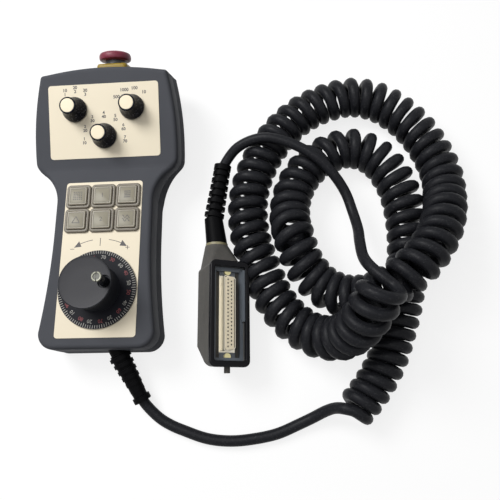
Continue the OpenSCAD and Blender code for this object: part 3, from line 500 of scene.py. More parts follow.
def coilLine(plan):
    axis = smoothLine(plan["coil"], plan["axisGap"])
    last, look = len(axis) - 1, plan["lookAlong"]
    step = lineLength(axis) / last
    turned = [0.0]
    for k in range(last):
        turned.append(turned[-1] + step / along(plan["turnPitch"], (k + 0.5) / last))
    turns = round(turned[-1]) + 0.5  # the coil starts at its top and ends at its foot
    count = int(turns * plan["pointsPerTurn"])
    line, k = [], 0
    for n in range(count + 1):
        target = turned[-1] * n / count
        while k < last - 1 and turned[k + 1] < target:
            k += 1
        place = k + (target - turned[k]) / (turned[k + 1] - turned[k])
        here = axis[k].lerp(axis[k + 1], place - k)
        ahead = (axis[min(k + 1 + look, last)] - axis[max(k - look, 0)]).normalized()
        side = ahead.cross(Vector((0, 0, 1))).normalized()  # to the right of travel
        top = side.cross(ahead)
        angle = 2 * math.pi * turns * n / count
        reach = along(plan["coilRadius"], place / last)
        line.append(here + reach * (math.cos(angle) * top + math.sin(angle) * side))
    return line, turns


def makeCord(plan):
    coil, turns = coilLine(plan)
    lead = smoothLine(plan["lead"] + [tuple(coil[0]), tuple(coil[1])], plan["pointGap"])[:-1]
    tail = smoothLine([tuple(coil[-2]), tuple(coil[-1])] + plan["tail"], plan["pointGap"])[1:]
    line = lead + coil[1:-1] + tail
    swell = plan["coilDiameter"] / plan["diameter"] - 1
    blend = plan["pointsPerTurn"]
    curve = bpy.data.curves.new("curlyCordCurve", "CURVE")
    curve.dimensions = "3D"
    curve.bevel_depth = plan["diameter"] / 2 * mm
    curve.bevel_resolution = 4
    curve.use_fill_caps = True
    spline = curve.splines.new("POLY")
    spline.points.add(len(line) - 1)
    for i, (point, where) in enumerate(zip(spline.points, line)):
        point.co = (where.x * mm, where.y * mm, where.z * mm, 1.0)
        inside = min(i - len(lead), len(line) - len(tail) - i) / blend
        point.radius = 1 + swell * max(0.0, min(1.0, inside))
    spline.use_smooth = True
    curve.materials.append(finishes["cableRubber"])
    cord = bpy.data.objects.new("curlyCable", curve)
    bpy.context.scene.collection.objects.link(cord)
    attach(cord, "housing")
    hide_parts("cord_lead", "curly_cord", "cord_tail")
    print("cord ready: turns", turns, "length m", round(lineLength(line) * mm, 3))
    return cord, lineLength(line) * mm


curlyCable, cableLength = makeCord(cordPlan)


# housing: the outline by inset, and the bend by depth
outlinePlan = {
    "gripHalf": 38.95, "gripFlare": 6.3, "flareFrom": 48.0, "flareLength": 85, "cornerR": 12.5,
    "headHalf": 58.6, "headTaper": 0.002, "taperFrom": 118, "topCrown": 0.0019, "topR": 3.2,
    "shoulderR": 31.0, "shoulderBack": 27.5, "tipR": 9.9, "tipIn": 0.2, "leastR": 0.3, "topIn": 10,
    "faceRound": 3.4, "backRound": 3.9, "edgeIn": 1.2, "wall": 3.0, "frontBevel": 1.6, "rearBevel": 2.0,
    "rearDraw": (0.25, 0.2, 0.3),  # the rear wall draws in: outside, inside low and inside high
    "parting": [(0.6, 0.0), (0.25, 0.12), (0.02, 0.5)],  # away from the parting plane, and inset
}
outlineSteps = {  # how many steps each stretch of a half outline takes
    "end": 3, "corner": 12, "side": 16, "shoulder": 20, "tip": 10, "head": 13, "topCorner": 8, "top": 12,
}
backPlan = {  # in y: where the back starts to lift, and what lies under the bend and the upper end
    "knee": 78.0, "rise": 79.4, "tilt": 11.8, "bend": 109.1, "end": 192.4,
}


def gripX(s):
    flare = max(0, outlinePlan["flareFrom"] - s) / outlinePlan["flareLength"]
    return outlinePlan["gripHalf"] + outlinePlan["gripFlare"] * flare ** 2


def headX(s):
    return outlinePlan["headHalf"] - outlinePlan["headTaper"] * max(0, s - outlinePlan["taperFrom"]) ** 2


def topS(x):
    return slab["upperEnd"] - outlinePlan["topCrown"] * x * x


def arcPoints(centre, radius, first, last, steps, skipFirst=False):
    points = []
    for k in range(1 if skipFirst else 0, steps + 1):
        a = math.radians(first + (last - first) * k / steps)
        points.append((centre[0] + radius * math.cos(a), centre[1] + radius * math.sin(a)))
    return points


def halfOutline(inset):  # the right half, from the lower end to the upper one
    plan, count, bend = outlinePlan, outlineSteps, slab["bend"]
    shoulder = (plan["gripHalf"] + plan["shoulderR"], bend - plan["shoulderBack"])
    tipX = plan["headHalf"] - plan["tipIn"] - plan["tipR"]
    tipA = math.degrees(math.acos((shoulder[0] - tipX) / (plan["shoulderR"] + plan["tipR"])))
    tip = (tipX, shoulder[1] + (plan["shoulderR"] + plan["tipR"]) * math.sin(math.radians(tipA)))
    shoulderR, tipR = plan["shoulderR"] + inset, max(plan["leastR"], plan["tipR"] - inset)
    tipCrossed = tip[1] - tipR * math.sin(math.radians(tipA)) < bend
    if tipCrossed:
        shoulderA = tipA
        tipFrom = math.degrees(math.asin((bend - tip[1]) / tipR))
        bendX = tip[0] + tipR * math.cos(math.radians(tipFrom))
    else:
        shoulderA = math.degrees(math.asin((bend - shoulder[1]) / shoulderR))
        tipFrom = -tipA
        bendX = shoulder[0] - shoulderR * math.cos(math.radians(shoulderA))
    cornerS = plan["cornerR"] - slab["lowerEnd"]
    cornerX = gripX(cornerS) - plan["cornerR"]
    topCornerS = topS(plan["headHalf"] - plan["topIn"]) - plan["topR"]
    topX = headX(topCornerS) - plan["topR"]
    side = [(cornerX * k / count["end"], inset - slab["lowerEnd"]) for k in range(count["end"])]
    side += arcPoints((cornerX, cornerS), plan["cornerR"] - inset, -90, 0, count["corner"])
    for k in range(1, count["side"]):
        s = cornerS + (shoulder[1] - cornerS) * k / count["side"]
        side.append((gripX(s) - inset, s))
    bends = count["shoulder"] - 1
    side += arcPoints(shoulder, shoulderR, 180, 180 - shoulderA * bends / count["shoulder"], bends)
    side.append((bendX, bend))
    side += arcPoints(tip, tipR, tipFrom, 0, count["tip"], skipFirst=True)
    overrun = max(0.0, inset - plan["topR"] + plan["leastR"])  # keeps a deep inset's corner from folding
    for k in range(1, count["head"] + 1):
        s = tip[1] + (topCornerS - overrun - tip[1]) * k / count["head"]
        side.append((headX(s) - inset, s))
    topCorner = (topX - overrun, topCornerS - overrun)
    cornerR = max(plan["leastR"], plan["topR"] - inset)
    side += arcPoints(topCorner, cornerR, 0, 90, count["topCorner"], skipFirst=True)
    for k in range(1, count["top"] + 1):
        x = (topX - overrun) * (1 - k / count["top"])
        side.append((x, topS(x) - inset))
    return side


def outline(inset):
    side = halfOutline(inset)
    return side + [(-x, s) for x, s in reversed(side[1:-1])]


def backY(s):
    knee, bend = backPlan["knee"], slab["bend"]
    if s < knee:
        return s
    if s < bend:
        return knee + (s - knee) * (backPlan["bend"] - knee) / (bend - knee)
    return backPlan["bend"] + (s - bend) * (backPlan["end"] - backPlan["bend"]) / stopV


def bent(x, s, depth):  # s runs along the face and round the bend, depth goes in under it
    tilt = math.radians(slab["tilt"])
    bend, thick = slab["bend"], slab["thick"]
    if s < bend - 1e-6:
        face, under = Vector((s, thick)), Vector((0, -1))
    elif s < bend + 1e-6:
        face, under = Vector((bend, thick)), Vector((math.tan(tilt / 2), -1))
    else:
        face = Vector((bend + (s - bend) * math.cos(tilt), thick + (s - bend) * math.sin(tilt)))
        under = Vector((math.sin(tilt), -math.cos(tilt)))
    near = face + under * min(depth, slab["skin"])
    share = max(0, depth - slab["skin"]) / (thick - slab["skin"])
    y = backY(s)
    back = Vector((y, max(0, y - backPlan["rise"]) * math.tan(math.radians(backPlan["tilt"]))))
    point = near.lerp(back, share)
    return (x, point[0], point[1])


def loftShell(steps):  # steps are (depth, inset); both ends are closed by strips from side to side
    rings = [[bent(x, s, depth) for x, s in outline(inset)] for depth, inset in steps]
    count = len(rings[0])
    vertices, faces = stackRings(rings)
    faces = faces[:-2]
    for first in (0, (len(rings) - 1) * count):
        for i in range(count // 2):
            a, b = first + i, first + i + 1
            c, d = first + (count - i - 1) % count, first + (count - i) % count
            faces.append(tuple(dict.fromkeys((a, b, c, d) if i else (a, b, c))))
    return vertices, faces


def roundingSteps(radius, count=8):
    turns = [math.pi / 2 * k / count for k in range(count + 1)]
    return [(radius * (1 - math.cos(a)), max(0.05, radius * (1 - math.sin(a)))) for a in turns]


def drill(name, place, radius, low, high, segments=48):
    rings = [circleRing(radius, z, segments) for z in (low, high)]
    return makeObject(name, *stackRings(rings), place=place)


def squareDrill(name, place, width, corner, low, high):
    rings = [roundedSquare(width, width, corner, z, 2) for z in (low, high)]
    return makeObject(name, *stackRings(rings), place=place)


def ringLoop(rings):  # the last ring is joined to the first
    count, last = len(rings[0]), (len(rings) - 1) * len(rings[0])
    vertices, faces = stackRings(rings)
    faces = faces[:-2]
    for i in range(count):
        j = (i + 1) % count
        faces.append((last + i, last + j, j, i))
    return vertices, faces


def tubeShape(outer, inner, low, high, place, segments=32):
    corners = ((inner, low), (outer, low), (outer, high), (inner, high))
    return moveShape(ringLoop([circleRing(r, z, segments) for r, z in corners]), place)


holePlan = {  # stop and relief are radius, low and high; the face's holes reach from deep to out
    "stop": (8.05, -7, 4), "relief": (6.0, -10, 10),
    "bushing": 4.65, "stemWidth": 8.6, "stemCorner": 0.4, "encoder": 5.2, "encoderScrew": 1.65,
    "encoderCircle": 20, "encoderAngles": (30, 150, 270), "deep": 6, "out": 2,
}
bossPlan = {  # the screw posts inside, and the wells for the screws' heads
    "gripIn": 10, "gripUp": 12, "headIn": 11.6, "headUp": 12, "headDown": 14,
    "radius": 4.0, "pilot": 1.55, "skin": 2.4, "gap": 0.6, "well": 3.1, "wellDeep": 5,
}


def headDepth(v):
    return slab["headThick"] + slab["headGrowth"] * v


def bossSpots(plan):  # across, along, and whether it stands in the head
    inGrip, inHead = outlinePlan["gripHalf"] - plan["gripIn"], outlinePlan["headHalf"] - plan["headIn"]
    spots = [(side * inGrip, plan["gripUp"] - slab["lowerEnd"], False) for side in (-1, 1)]
    for side in (-1, 1):
        spots += [(side * inHead, plan["headUp"], True), (side * inHead, stopV - plan["headDown"], True)]
    return spots


def bossShapes(plan, front):
    shapes = []
    for x, s, tilted in bossSpots(plan):
        place = (headPlace if tilted else gripPlace) @ shift(x, s, 0)
        depth = headDepth(s) if tilted else slab["thick"]
        middle = depth / 2 if tilted else slab["parting"]
        low, high = plan["skin"], middle - plan["gap"]
        if not front:
            low, high = middle + plan["gap"], depth - plan["skin"]
        shapes.append(tubeShape(plan["radius"], plan["pilot"], -high, -low, place))
    return shapes


def sharedHoles(plan):
    return [drill("stopHole", stopPlace, *plan["stop"], 64),
            drill("reliefHole", reliefPlace, *plan["relief"])]


def faceHoles(plan):
    low, high = -plan["deep"], plan["out"]
    cutters = []
    for x, v in selectorSpots.values():
        cutters.append(drill("bushingHole", headPlace @ shift(x, v, 0), plan["bushing"], low, high))
    for x in keyColumns.values():
        for y in keyRows.values():
            place = gripPlace @ shift(x, y, 0)
            cutters.append(squareDrill("stemHole", place, plan["stemWidth"], plan["stemCorner"], low, high))
    cutters.append(drill("encoderHole", gripPlace, plan["encoder"], low, high))
    for angle in plan["encoderAngles"]:
        place = gripPlace @ turnZ(angle) @ shift(plan["encoderCircle"], 0, 0)
        cutters.append(drill("encoderScrewHole", place, plan["encoderScrew"], low, high, 24))
    return cutters


def backHoles(plan):
    cutters = []
    for x, s, tilted in bossSpots(plan):
        place = (headPlace @ shift(x, s, -headDepth(s))) if tilted else shift(x, s, 0)
        cutters.append(drill("screwWell", place, plan["well"], -2, plan["wellDeep"], 32))
    return cutters


def makeShells(plan):
    wall, part, thick = plan["wall"], slab["parting"], slab["thick"]
    faceRound, backRound, edge = plan["faceRound"], plan["backRound"], plan["edgeIn"]
    near, inner = plan["parting"][-1][0], plan["frontBevel"]
    front = [(0, faceRound + edge)] + roundingSteps(faceRound) + [(faceRound + 1, 0.0)]
    front += [(part - away, inset) for away, inset in plan["parting"]]
    front += [(part - near, wall), (wall + inner, wall), (wall, wall + inner)]
    outside, low, high = plan["rearDraw"]
    inner = plan["rearBevel"]
    rear = [(thick, backRound + edge)] + [(thick - depth, inset) for depth, inset in roundingSteps(backRound)]
    rear.append((thick - backRound - 1, outside))
    rear += [(part + away, inset) for away, inset in plan["parting"]]
    rear += [(part + near, wall + low), (thick - wall - inner, wall + high)]
    rear.append((thick - wall, wall + high + inner))
    for name, steps, isFront, node in (("frontShell", front, True, "front_shell"),
                                       ("rearShell", rear, False, "rear_shell")):
        shell = makeObject(name, *joinShapes([loftShell(steps)] + bossShapes(bossPlan, isFront)))
        holes = faceHoles(holePlan) if isFront else backHoles(bossPlan)
        carve(shell, holes + sharedHoles(holePlan))
        dress(shell, "housingPlastic", "housing", 32.0, [node])


makeShells(outlinePlan)
print("shells ready")


# printed marks on the labels
markPlan = {
    "arcRadius": 39.5, "arcFrom": 9.3, "arcTo": 24.0, "line": 0.45, "headLength": 5.6, "headWidth": 4.9,
    "headDrop": 0.3, "tick": (-0.3, 34.1, 40.5), "tickWidth": 0.5,
    "signs": {"minus": (-22.2, 32.1), "plus": (21.4, 32.3)}, "signHalf": 1.6, "signWidth": 0.42,
}


def arcStroke(radius, first, last, width, steps=8):
    shapes = []
    for k in range(steps):
        a, b = first + (last - first) * k / steps, first + (last - first) * (k + 1) / steps
        shapes.append(barMark(clockPlace(a, radius), clockPlace(b, radius), width))
    return shapes


def arrowMark(side, plan):
    shapes = arcStroke(plan["arcRadius"], side * plan["arcFrom"], side * plan["arcTo"], plan["line"])
    reach = plan["arcTo"] + math.degrees(plan["headLength"] / plan["arcRadius"])
    wide = plan["headWidth"] / 2
    points = [clockPlace(side * reach, plan["arcRadius"] - plan["headDrop"]),
              clockPlace(side * plan["arcTo"], plan["arcRadius"] + wide),
              clockPlace(side * plan["arcTo"], plan["arcRadius"] - wide)]
    return shapes + [prism(points if side > 0 else points[::-1])]


def gripMarks(plan):
    x, low, high = plan["tick"]
    half, width = plan["signHalf"], plan["signWidth"]
    shapes = arrowMark(-1, plan) + arrowMark(1, plan) + [barMark((x, low), (x, high), plan["tickWidth"])]
    for name, (x, y) in plan["signs"].items():
        shapes.append(barMark((x - half, y), (x + half, y), width))
        if name == "plus":
            shapes.append(barMark((x, y - half), (x, y + half), width))
    piece = makeObject("gripMarks", *joinShapes(shapes), place=gripPlace @ shift(0, 0, slab["label"]))
    dress(piece, "labelInk", "housing")


selectorMarks = {  # rows of plain numbers on a circle round each selector
    "left": {"first": -29.0, "pitch": 31.0, "radius": 16.2, "height": 2.6,
             "rows": [["10", "20", "30"], ["1", "2", "3"]]},
    "right": {"first": -55.0, "pitch": 32.0, "radius": 15.2, "height": 2.6,
              "rows": [["500", "1000", "100", "10"]]},
    "centre": {"first": -101.0, "pitch": 33.7, "radius": 17.0, "height": 2.5,
               "rows": [["1", "2", "3", "4", "5", "6", "7"], ["10", "20", "30", "40", "50", "60", "70"]]},
}
rowGap = 3.2
headWeight = 0.11  # how much the numbers are thickened


def headMarks(plans):
    shapes = []
    for name, plan in plans.items():
        cx, cy = selectorSpots[name]
        for row, words in enumerate(plan["rows"]):
            drop = (row - (len(plan["rows"]) - 1) / 2) * rowGap
            for k, word in enumerate(words):
                x, y = clockPlace(plan["first"] + k * plan["pitch"], plan["radius"])
                shapes.append(textMark(word, plan["height"], cx + x, cy + y - drop, weight=headWeight))
    piece = makeObject("headMarks", *joinShapes(shapes), place=headPlace @ shift(0, 0, slab["label"]))
    dress(piece, "greyInk", "housing")


gripMarks(markPlan)
headMarks(selectorMarks)
print("label marks ready")


# selectors
knobPlan = {
    "low": 0.9,
    "profile": [  # radius, height and rounding
        (0.02, 11.8), (3.0, 11.8), (3.0, 3.3), (7.5, 3.3), (7.5, 0.0), (9.7, 0.0, 0.3), (10.05, 0.6, 0.3),
        (9.95, 1.6, 0.6), (9.35, 3.6, 1.2), (8.35, 6.4, 2.0), (7.45, 9.4, 2.0), (6.85, 12.4, 2.0),
        (6.62, 14.9, 0.4), (6.3, 15.4, 0.2), (5.42, 15.4), (5.42, 14.4), (0.02, 14.4)],
    "cap": [(0.02, 14.4), (5.38, 14.4), (5.38, 15.5, 0.25), (4.9, 15.55, 0.2), (0.02, 15.55)],
}


def makeSelector(name, plan):
    x, v = selectorSpots[name]
    place = headPlace @ shift(x, v, plan["low"])
    knob = makeObject(name + "Knob", *lathe(plan["profile"]), place=place)
    dress(knob, "knobPlastic", name + "_selector", 40.0, [name + "_knob"])
    cap = makeObject(name + "KnobCap", *lathe(plan["cap"]), place=place)
    dress(cap, "capPlastic", name + "_selector", 40.0, [name + "_knob_cap"])


for selectorName in selectorSpots:
    makeSelector(selectorName, knobPlan)
print("selectors ready")


# keys: a skirt, a groove and a raised window with a generic mark
keyPlan = {
    "low": 39.3, "stemLow": 32.6, "stemWidth": 8.0, "stemTop": 0.5,
    "finishes": ["keySkirt", "keyRimAndGlow", "keyWindow", "keyInk", "keyGrimeAndShade"],
    "rings": [  # width, corner radius, height and the finish of the band that starts here
        # the dark bands at the skirt's foot and in the groove are painted shade, at the foot with grime as
        # well
        (19.2, 2.8, 0.0, "keyGrimeAndShade"), (19.45, 3.0, 0.15, "keyGrimeAndShade"), (19.45, 3.0, 0.45, "keyGrimeAndShade"),
        (19.1, 2.9, 0.72, "keySkirt"), (18.4, 2.6, 0.95, "keySkirt"), (17.2, 2.2, 1.1, "keySkirt"),
        (15.9, 1.6, 1.1, "keySkirt"), (15.6, 1.5, 1.0, "keyGrimeAndShade"), (15.4, 1.4, 0.55, "keyGrimeAndShade"),
        # the window's sides take the rim's lighter finish: a painted glow for light through the cap
        (14.6, 1.0, 0.55, "keyRimAndGlow"), (14.5, 1.0, 0.8, "keyRimAndGlow"), (14.4, 1.0, 2.0, "keyRimAndGlow"),
        (14.1, 0.95, 2.25, "keyRimAndGlow"), (13.6, 0.8, 2.4, "keyRimAndGlow"), (12.1, 0.5, 2.4, "keyInk"),
        (11.95, 0.45, 2.28, "keyInk"), (11.5, 0.4, 2.28, "keyWindow"), (11.3, 0.4, 2.34, "keyWindow")],
    "markHeight": 2.34,
}
keyMarkPlan = {
    "stroke": 0.6, "letter": 3.6, "dots": (-3.0, -1.5, 0.0, 1.5, 3.0), "dot": 0.9,
    "bars": (-2.4, -0.8, 0.8, 2.4), "barHalf": 2.6, "barWidth": 0.8,
    "triangle": [(-3.0, -2.4), (3.0, -2.4), (0.0, 2.8)],
    "waveHigh": 1.3, "waveStep": 0.5, "waveTurn": 0.9, "waveSteps": 6,
}


def dotGrid(plan):
    half = plan["dot"] / 2
    return [barMark((x - half, y), (x + half, y), plan["dot"]) for x in plan["dots"] for y in plan["dots"]]


def stackedBars(plan):
    half = plan["barHalf"]
    return [barMark((-half, y), (half, y), plan["barWidth"]) for y in plan["bars"]]


def strokes(points, width, lift=0.0):
    return [barMark((a[0], a[1] + lift), (b[0], b[1] + lift), width) for a, b in zip(points, points[1:])]


def triangleMark(plan):
    return strokes(plan["triangle"] + plan["triangle"][:1], plan["stroke"])


def waveMark(plan):
    high, steps = plan["waveHigh"], plan["waveSteps"]
    line = [(k * plan["waveStep"], high * math.sin(k * plan["waveTurn"])) for k in range(-steps, steps + 1)]
    return strokes(line, plan["stroke"], -high) + strokes(line, plan["stroke"], high)


def numberMark(number):
    return lambda plan: [textMark(number, plan["letter"], 0, 0)]


keyMarks = {
    ("upper", "left"): dotGrid, ("upper", "centre"): numberMark("1"), ("upper", "right"): stackedBars,
    ("lower", "left"): triangleMark, ("lower", "centre"): numberMark("2"), ("lower", "right"): waveMark,
}


def makeKey(row, column, plan):
    body = f"key_{row}_{column}"
    place = shift(keyColumns[column], keyRows[row], plan["low"])
    rings = [roundedSquare(ring[0], ring[0], ring[1], ring[2]) for ring in plan["rings"]]
    bands = ringBands(rings, [plan["finishes"].index(ring[3]) for ring in plan["rings"]])
    half, low = plan["stemWidth"] / 2, plan["stemLow"] - plan["low"]
    stem = boxShape((-half, -half, low), (half, half, plan["stemTop"]))
    bands += [plan["finishes"].index("keySkirt")] * len(stem[1])
    key = makeObject(body + "Cap", *joinShapes([stackRings(rings), stem]), place, bands)
    dress(key, plan["finishes"], body, 40.0, [body])
    shapes = keyMarks[row, column](keyMarkPlan)
    marks = makeObject(body + "Mark", *joinShapes(shapes), place @ shift(0, 0, plan["markHeight"]))
    dress(marks, "keyInk", body)


for rowName in keyRows:
    for columnName in keyColumns:
        makeKey(rowName, columnName, keyPlan)
print("keys ready")


# handwheel: graduated disc, wheel, peg and screw
dialPlan = {
    "low": 38.6, "radius": 30.0, "bore": 3.0, "thick": 1.5,
    "ticks": 100, "tickFrom": 27.4, "tickTo": 29.95, "tickWidth": 0.42, "mainFrom": 26.6, "mainAngle": 17.0,
    "numbers": 10, "paleFirst": 70, "redFirst": 30,  # pale ones fall, red ones rise
    "numberRadius": 24.6, "numberOffset": 8.4, "numberHeight": 2.9,
}
wheelPlan = {
    "low": 40.1, "pegX": 14.0, "dimpleRadius": 4.95, "dimpleDepth": 2.2,
    "shaftBore": 3.0, "shaftTop": 8.2, "pegBore": 1.5, "pegBoreLow": 12,
    "topRadius": 18.6, "topDrop": 1.2, "topUp": 0.7,  # which faces take the top's finish; the rest take the flank's painted shade
    "profile": [
        (0.02, 0.0), (17.7, 0.0), (17.8, 0.3, 0.2), (17.3, 1.2, 0.6), (17.2, 8.6, 3.0), (17.7, 16.0, 3.0),
        (18.6, 21.4, 1.2), (19.5, 23.1, 0.6), (19.6, 24.0, 0.3), (19.3, 24.5, 0.25), (18.75, 24.6, 0.2),
        (17.9, 24.45, 0.4), (12.0, 24.05, 3.0), (0.02, 23.8)],
}
pegPlan = {
    "low": 62.5,
    "profile": [
        (1.55, 0.0), (3.7, 0.0), (3.7, 1.4, 0.3), (2.85, 3.1, 0.8), (2.8, 10.0, 2.0), (2.9, 13.2, 1.0),
        (3.2, 15.8, 0.4), (3.2, 16.2, 0.2), (1.55, 16.2)],
}
screwPlan = {
    "low": 52.5, "slotHalf": 0.45, "slotReach": 6, "slotLow": 26.75, "recessShadeRadius": 2.6, "recessShadeLow": 26.5,
    "profile": [
        (0.02, 0.0), (1.5, 0.0), (1.5, 26.3), (3.5, 26.3), (3.65, 26.6, 0.2), (3.65, 27.3, 0.3),
        (3.3, 27.7, 0.3), (2.5, 27.6), (2.35, 27.05), (0.02, 27.0)],
}


def makeDial(plan):
    low, thick = plan["low"], plan["thick"]
    shape = tubeShape(plan["radius"], plan["bore"], 0.0, thick, shift(0, 0, low), 128)
    dress(makeObject("dialDisc", *shape), "dialAlloy", "handwheel", 30.0, ["dial_disc"])
    pale, red = [], []
    for k in range(plan["ticks"]):
        start = plan["mainFrom"] if k % 10 == 0 else plan["tickFrom"]
        angle = plan["mainAngle"] + 360 * k / plan["ticks"]
        pale.append(barMark(clockPlace(angle, start), clockPlace(angle, plan["tickTo"]), plan["tickWidth"]))
    for k in range(plan["numbers"]):
        main = plan["mainAngle"] + 360 * k / plan["numbers"]
        paleValue, redValue = plan["paleFirst"] - 10 * k, plan["redFirst"] + 10 * k
        for shapes, side, value in ((pale, -1, paleValue), (red, 1, redValue)):
            angle = main + side * plan["numberOffset"]
            x, y = clockPlace(angle, plan["numberRadius"])
            shapes.append(textMark(str(value % 100), plan["numberHeight"], x, y, -angle))
    for name, shapes, ink in (("dialScale", pale, "dialInk"), ("dialScaleRed", red, "dialInkRed")):
        scale = makeObject(name, *joinShapes(shapes), place=shift(0, 0, low + thick))
        dress(scale, ink, "handwheel")


def splitPaintedShade(piece, x, radius, low, leastUp):  # the second finish, inside a circle and above low; one side of this split is always painted shade
    for face in piece.data.polygons:
        middle = face.center / mm
        inside = math.hypot(middle.x - x, middle.y) < radius and middle.z > low
        face.material_index = 1 if inside and face.normal.z > leastUp else 0


def makeWheel(plan):
    rings = latheRings(plan["profile"], 128)
    place = shift(0, 0, plan["low"])
    pegPlace = place @ shift(plan["pegX"], 0, 0)
    wheel = makeObject("wheelKnob", *stackRings(rings), place=place)
    top = max(ring[0][2] for ring in rings)
    carve(wheel, [
        drill("dimple", pegPlace, plan["dimpleRadius"], top - plan["dimpleDepth"], top + 2),
        drill("shaftBore", place, plan["shaftBore"], -1, top - plan["shaftTop"]),
        drill("pegBore", pegPlace, plan["pegBore"], plan["pegBoreLow"], top + 2)])
    dress(wheel, ["wheelFlankShade", "wheelPlastic"], "handwheel", 35.0, ["wheel_knob"])
    # the top keeps the plastic and the flank takes its darker copy, painted shade
    splitPaintedShade(wheel, 0, plan["topRadius"], plan["low"] + top - plan["topDrop"], plan["topUp"])


def makePeg(plan):
    place = shift(wheelPlan["pegX"], 0, plan["low"])
    peg = makeObject("crankPeg", *lathe(plan["profile"], 64), place=place)
    dress(peg, "pegPlastic", "peg", 40.0, ["crank_peg"])


def makeScrew(plan):
    place = shift(wheelPlan["pegX"], 0, plan["low"])
    screw = makeObject("crankScrew", *lathe(plan["profile"], 64), place=place)
    half, reach, low = plan["slotHalf"], plan["slotReach"], plan["slotLow"]
    slot = makeObject("driverSlot", *boxShape((-half, -reach, low), (half, reach, low + 3)), place=place)
    carve(screw, [slot])
    dress(screw, ["screwMetal", "screwRecessShade"], "handwheel", 35.0, ["crank_screw"])
    # the socket's centre takes the darker finish: painted shade in the recess
    splitPaintedShade(screw, wheelPlan["pegX"], plan["recessShadeRadius"], plan["low"] + plan["recessShadeLow"], -2.0)


makeDial(dialPlan)
makeWheel(wheelPlan)
makePeg(pegPlan)
makeScrew(screwPlan)
print("handwheel ready")


# stop button
stopPlan = {
    "collar": [  # width, corner radius and height
        (25.0, 2.9, 0.1), (25.3, 3.0, 0.35), (25.3, 3.0, 4.1), (25.0, 2.9, 4.5), (23.9, 2.5, 5.4),
        (23.3, 2.3, 5.6)],
    "collarBore": 8.35, "capLow": 9.5,
    "cap": [
        (4.05, 0.0), (10.6, 0.0), (11.6, 0.15, 0.3), (12.7, 0.7, 0.6), (13.1, 2.0, 0.8), (13.05, 4.2, 1.2),
        (12.3, 5.9, 1.4), (9.6, 7.0, 1.8), (6.4, 7.35, 2.0), (0.02, 7.5)],
}


def makeStop(plan):
    rings = [roundedSquare(width, width, radius, z) for width, radius, z in plan["collar"]]
    collar = makeObject("stopCollar", *stackRings(rings), place=stopPlace)
    carve(collar, [drill("collarBore", stopPlace, plan["collarBore"], -2, 9, 64)])
    dress(collar, "stopYellow", "housing", 35.0, ["estop_collar"])
    cap = makeObject("stopCap", *lathe(plan["cap"], 128), place=stopPlace @ shift(0, 0, plan["capLow"]))
    dress(cap, "stopRed", "stop_cap", 45.0, ["estop_cap"])


makeStop(stopPlan)
print("stop button ready")


# plug: contact holes with painted shade at their floors, rim, flange ends and rails in the recess
plugPlan = {
    "contactPitch": 2.76, "contactDepth": 1.6, "shadeDiscHigh": 0.9,
    "columns": [(-1.35, 19, 0.68), (1.35, 18, 0.68)],  # across, number of contact holes and their radius
    "insertTop": -1.3, "insert": (6.9, 54.6, 1.7, 11.0),  # width, length, corner radius, height
    "insertEdge": 0.5, "edgeHigh": 0.3,
    "rim": (31.6, 79.0, 4.6, 3.5), "rimRound": 1.3, "recess": (24.5, 70.0, 1.5), "lipRound": 0.6,
    "flangeEnd": (12.6, 28.7, 34.8, -7.6, -7.2), "flangePitch": 63.5, "screwGap": 2.75,
    "rails": [  # low and high corners in the plug's own frame
        ((-12.2, -34.9, -8.5), (-9.9, 34.9, -4.6)), ((9.6, -34.9, -8.5), (12.2, 34.9, -5.4)),
        ((10.6, -6.0, -5.4), (12.2, 33.0, -1.6)), ((-12.2, -34.9, -4.6), (-11.3, 8.0, -2.0)),
        ((-9.9, 31.9, -8.5), (9.6, 34.9, -5.2)), ((-9.9, -34.9, -8.5), (9.6, -32.6, -5.2))],
}


def makeInsert(plan):  # with a row of contact holes on each side, and a dark disc at each hole's floor as painted shade
    width, length, corner, high = plan["insert"]
    top, edge, floor = plan["insertTop"], plan["insertEdge"], plan["insertTop"] - plan["contactDepth"]
    rings = [roundedSquare(width, length, corner, z) for z in (top - high, top - plan["edgeHigh"])]
    rings.append(roundedSquare(width - edge, length - edge, corner - 0.2, top))
    insert = makeObject("plugInsert", *stackRings(rings), place=plugPlace)
    holes, shadeDiscs = [], []
    for x, count, radius in plan["columns"]:
        hole = stackRings([circleRing(radius, z, 16) for z in (floor, top + 1)])
        disc = stackRings([circleRing(radius + 0.03, z, 16) for z in (-0.2, plan["shadeDiscHigh"])])
        for k in range(count):
            y = (k - (count - 1) / 2) * plan["contactPitch"]
            holes.append(moveShape(hole, shift(x, y, 0)))
            shadeDiscs.append(moveShape(disc, shift(x, y, floor)))
    carve(insert, [makeObject("contactHoles", *joinShapes(holes), place=plugPlace)])
    dress(insert, "insertPlastic", "housing", 35.0, ["dsub_insert"])
    # dark discs at the hole floors: painted shade
    holeShadeDiscPiece = makeObject("holeShadeDiscs", *joinShapes(shadeDiscs), place=plugPlace)
    dress(holeShadeDiscPiece, "contactHole", "housing")
    return [insert, holeShadeDiscPiece]


def makeRim(plan):
    width, length, corner, high = plan["rim"]
    openWidth, openLength, openCorner = plan["recess"]
    turns = [math.pi / 2 * k / 6 for k in range(7)]
    bevel, lip = plan["rimRound"], plan["lipRound"]
    rings = [roundedSquare(width, length, corner, -high)]
    for a in turns:
        inset, z = bevel * (1 - math.cos(a)), -bevel * (1 - math.sin(a))
        rings.append(roundedSquare(width - 2 * inset, length - 2 * inset, corner - inset, z))
    for a in turns[::-1]:
        inset, z = lip * (1 - math.cos(a)), -lip * (1 - math.sin(a))
        rings.append(roundedSquare(openWidth + 2 * inset, openLength + 2 * inset, openCorner + inset, z))
    rings.append(roundedSquare(openWidth, openLength, openCorner, -high))
    rim = makeObject("plugRim", *ringLoop(rings), place=plugPlace)
    return [dress(rim, "rimRubber", "housing", 50.0, ["plug_rim"])]


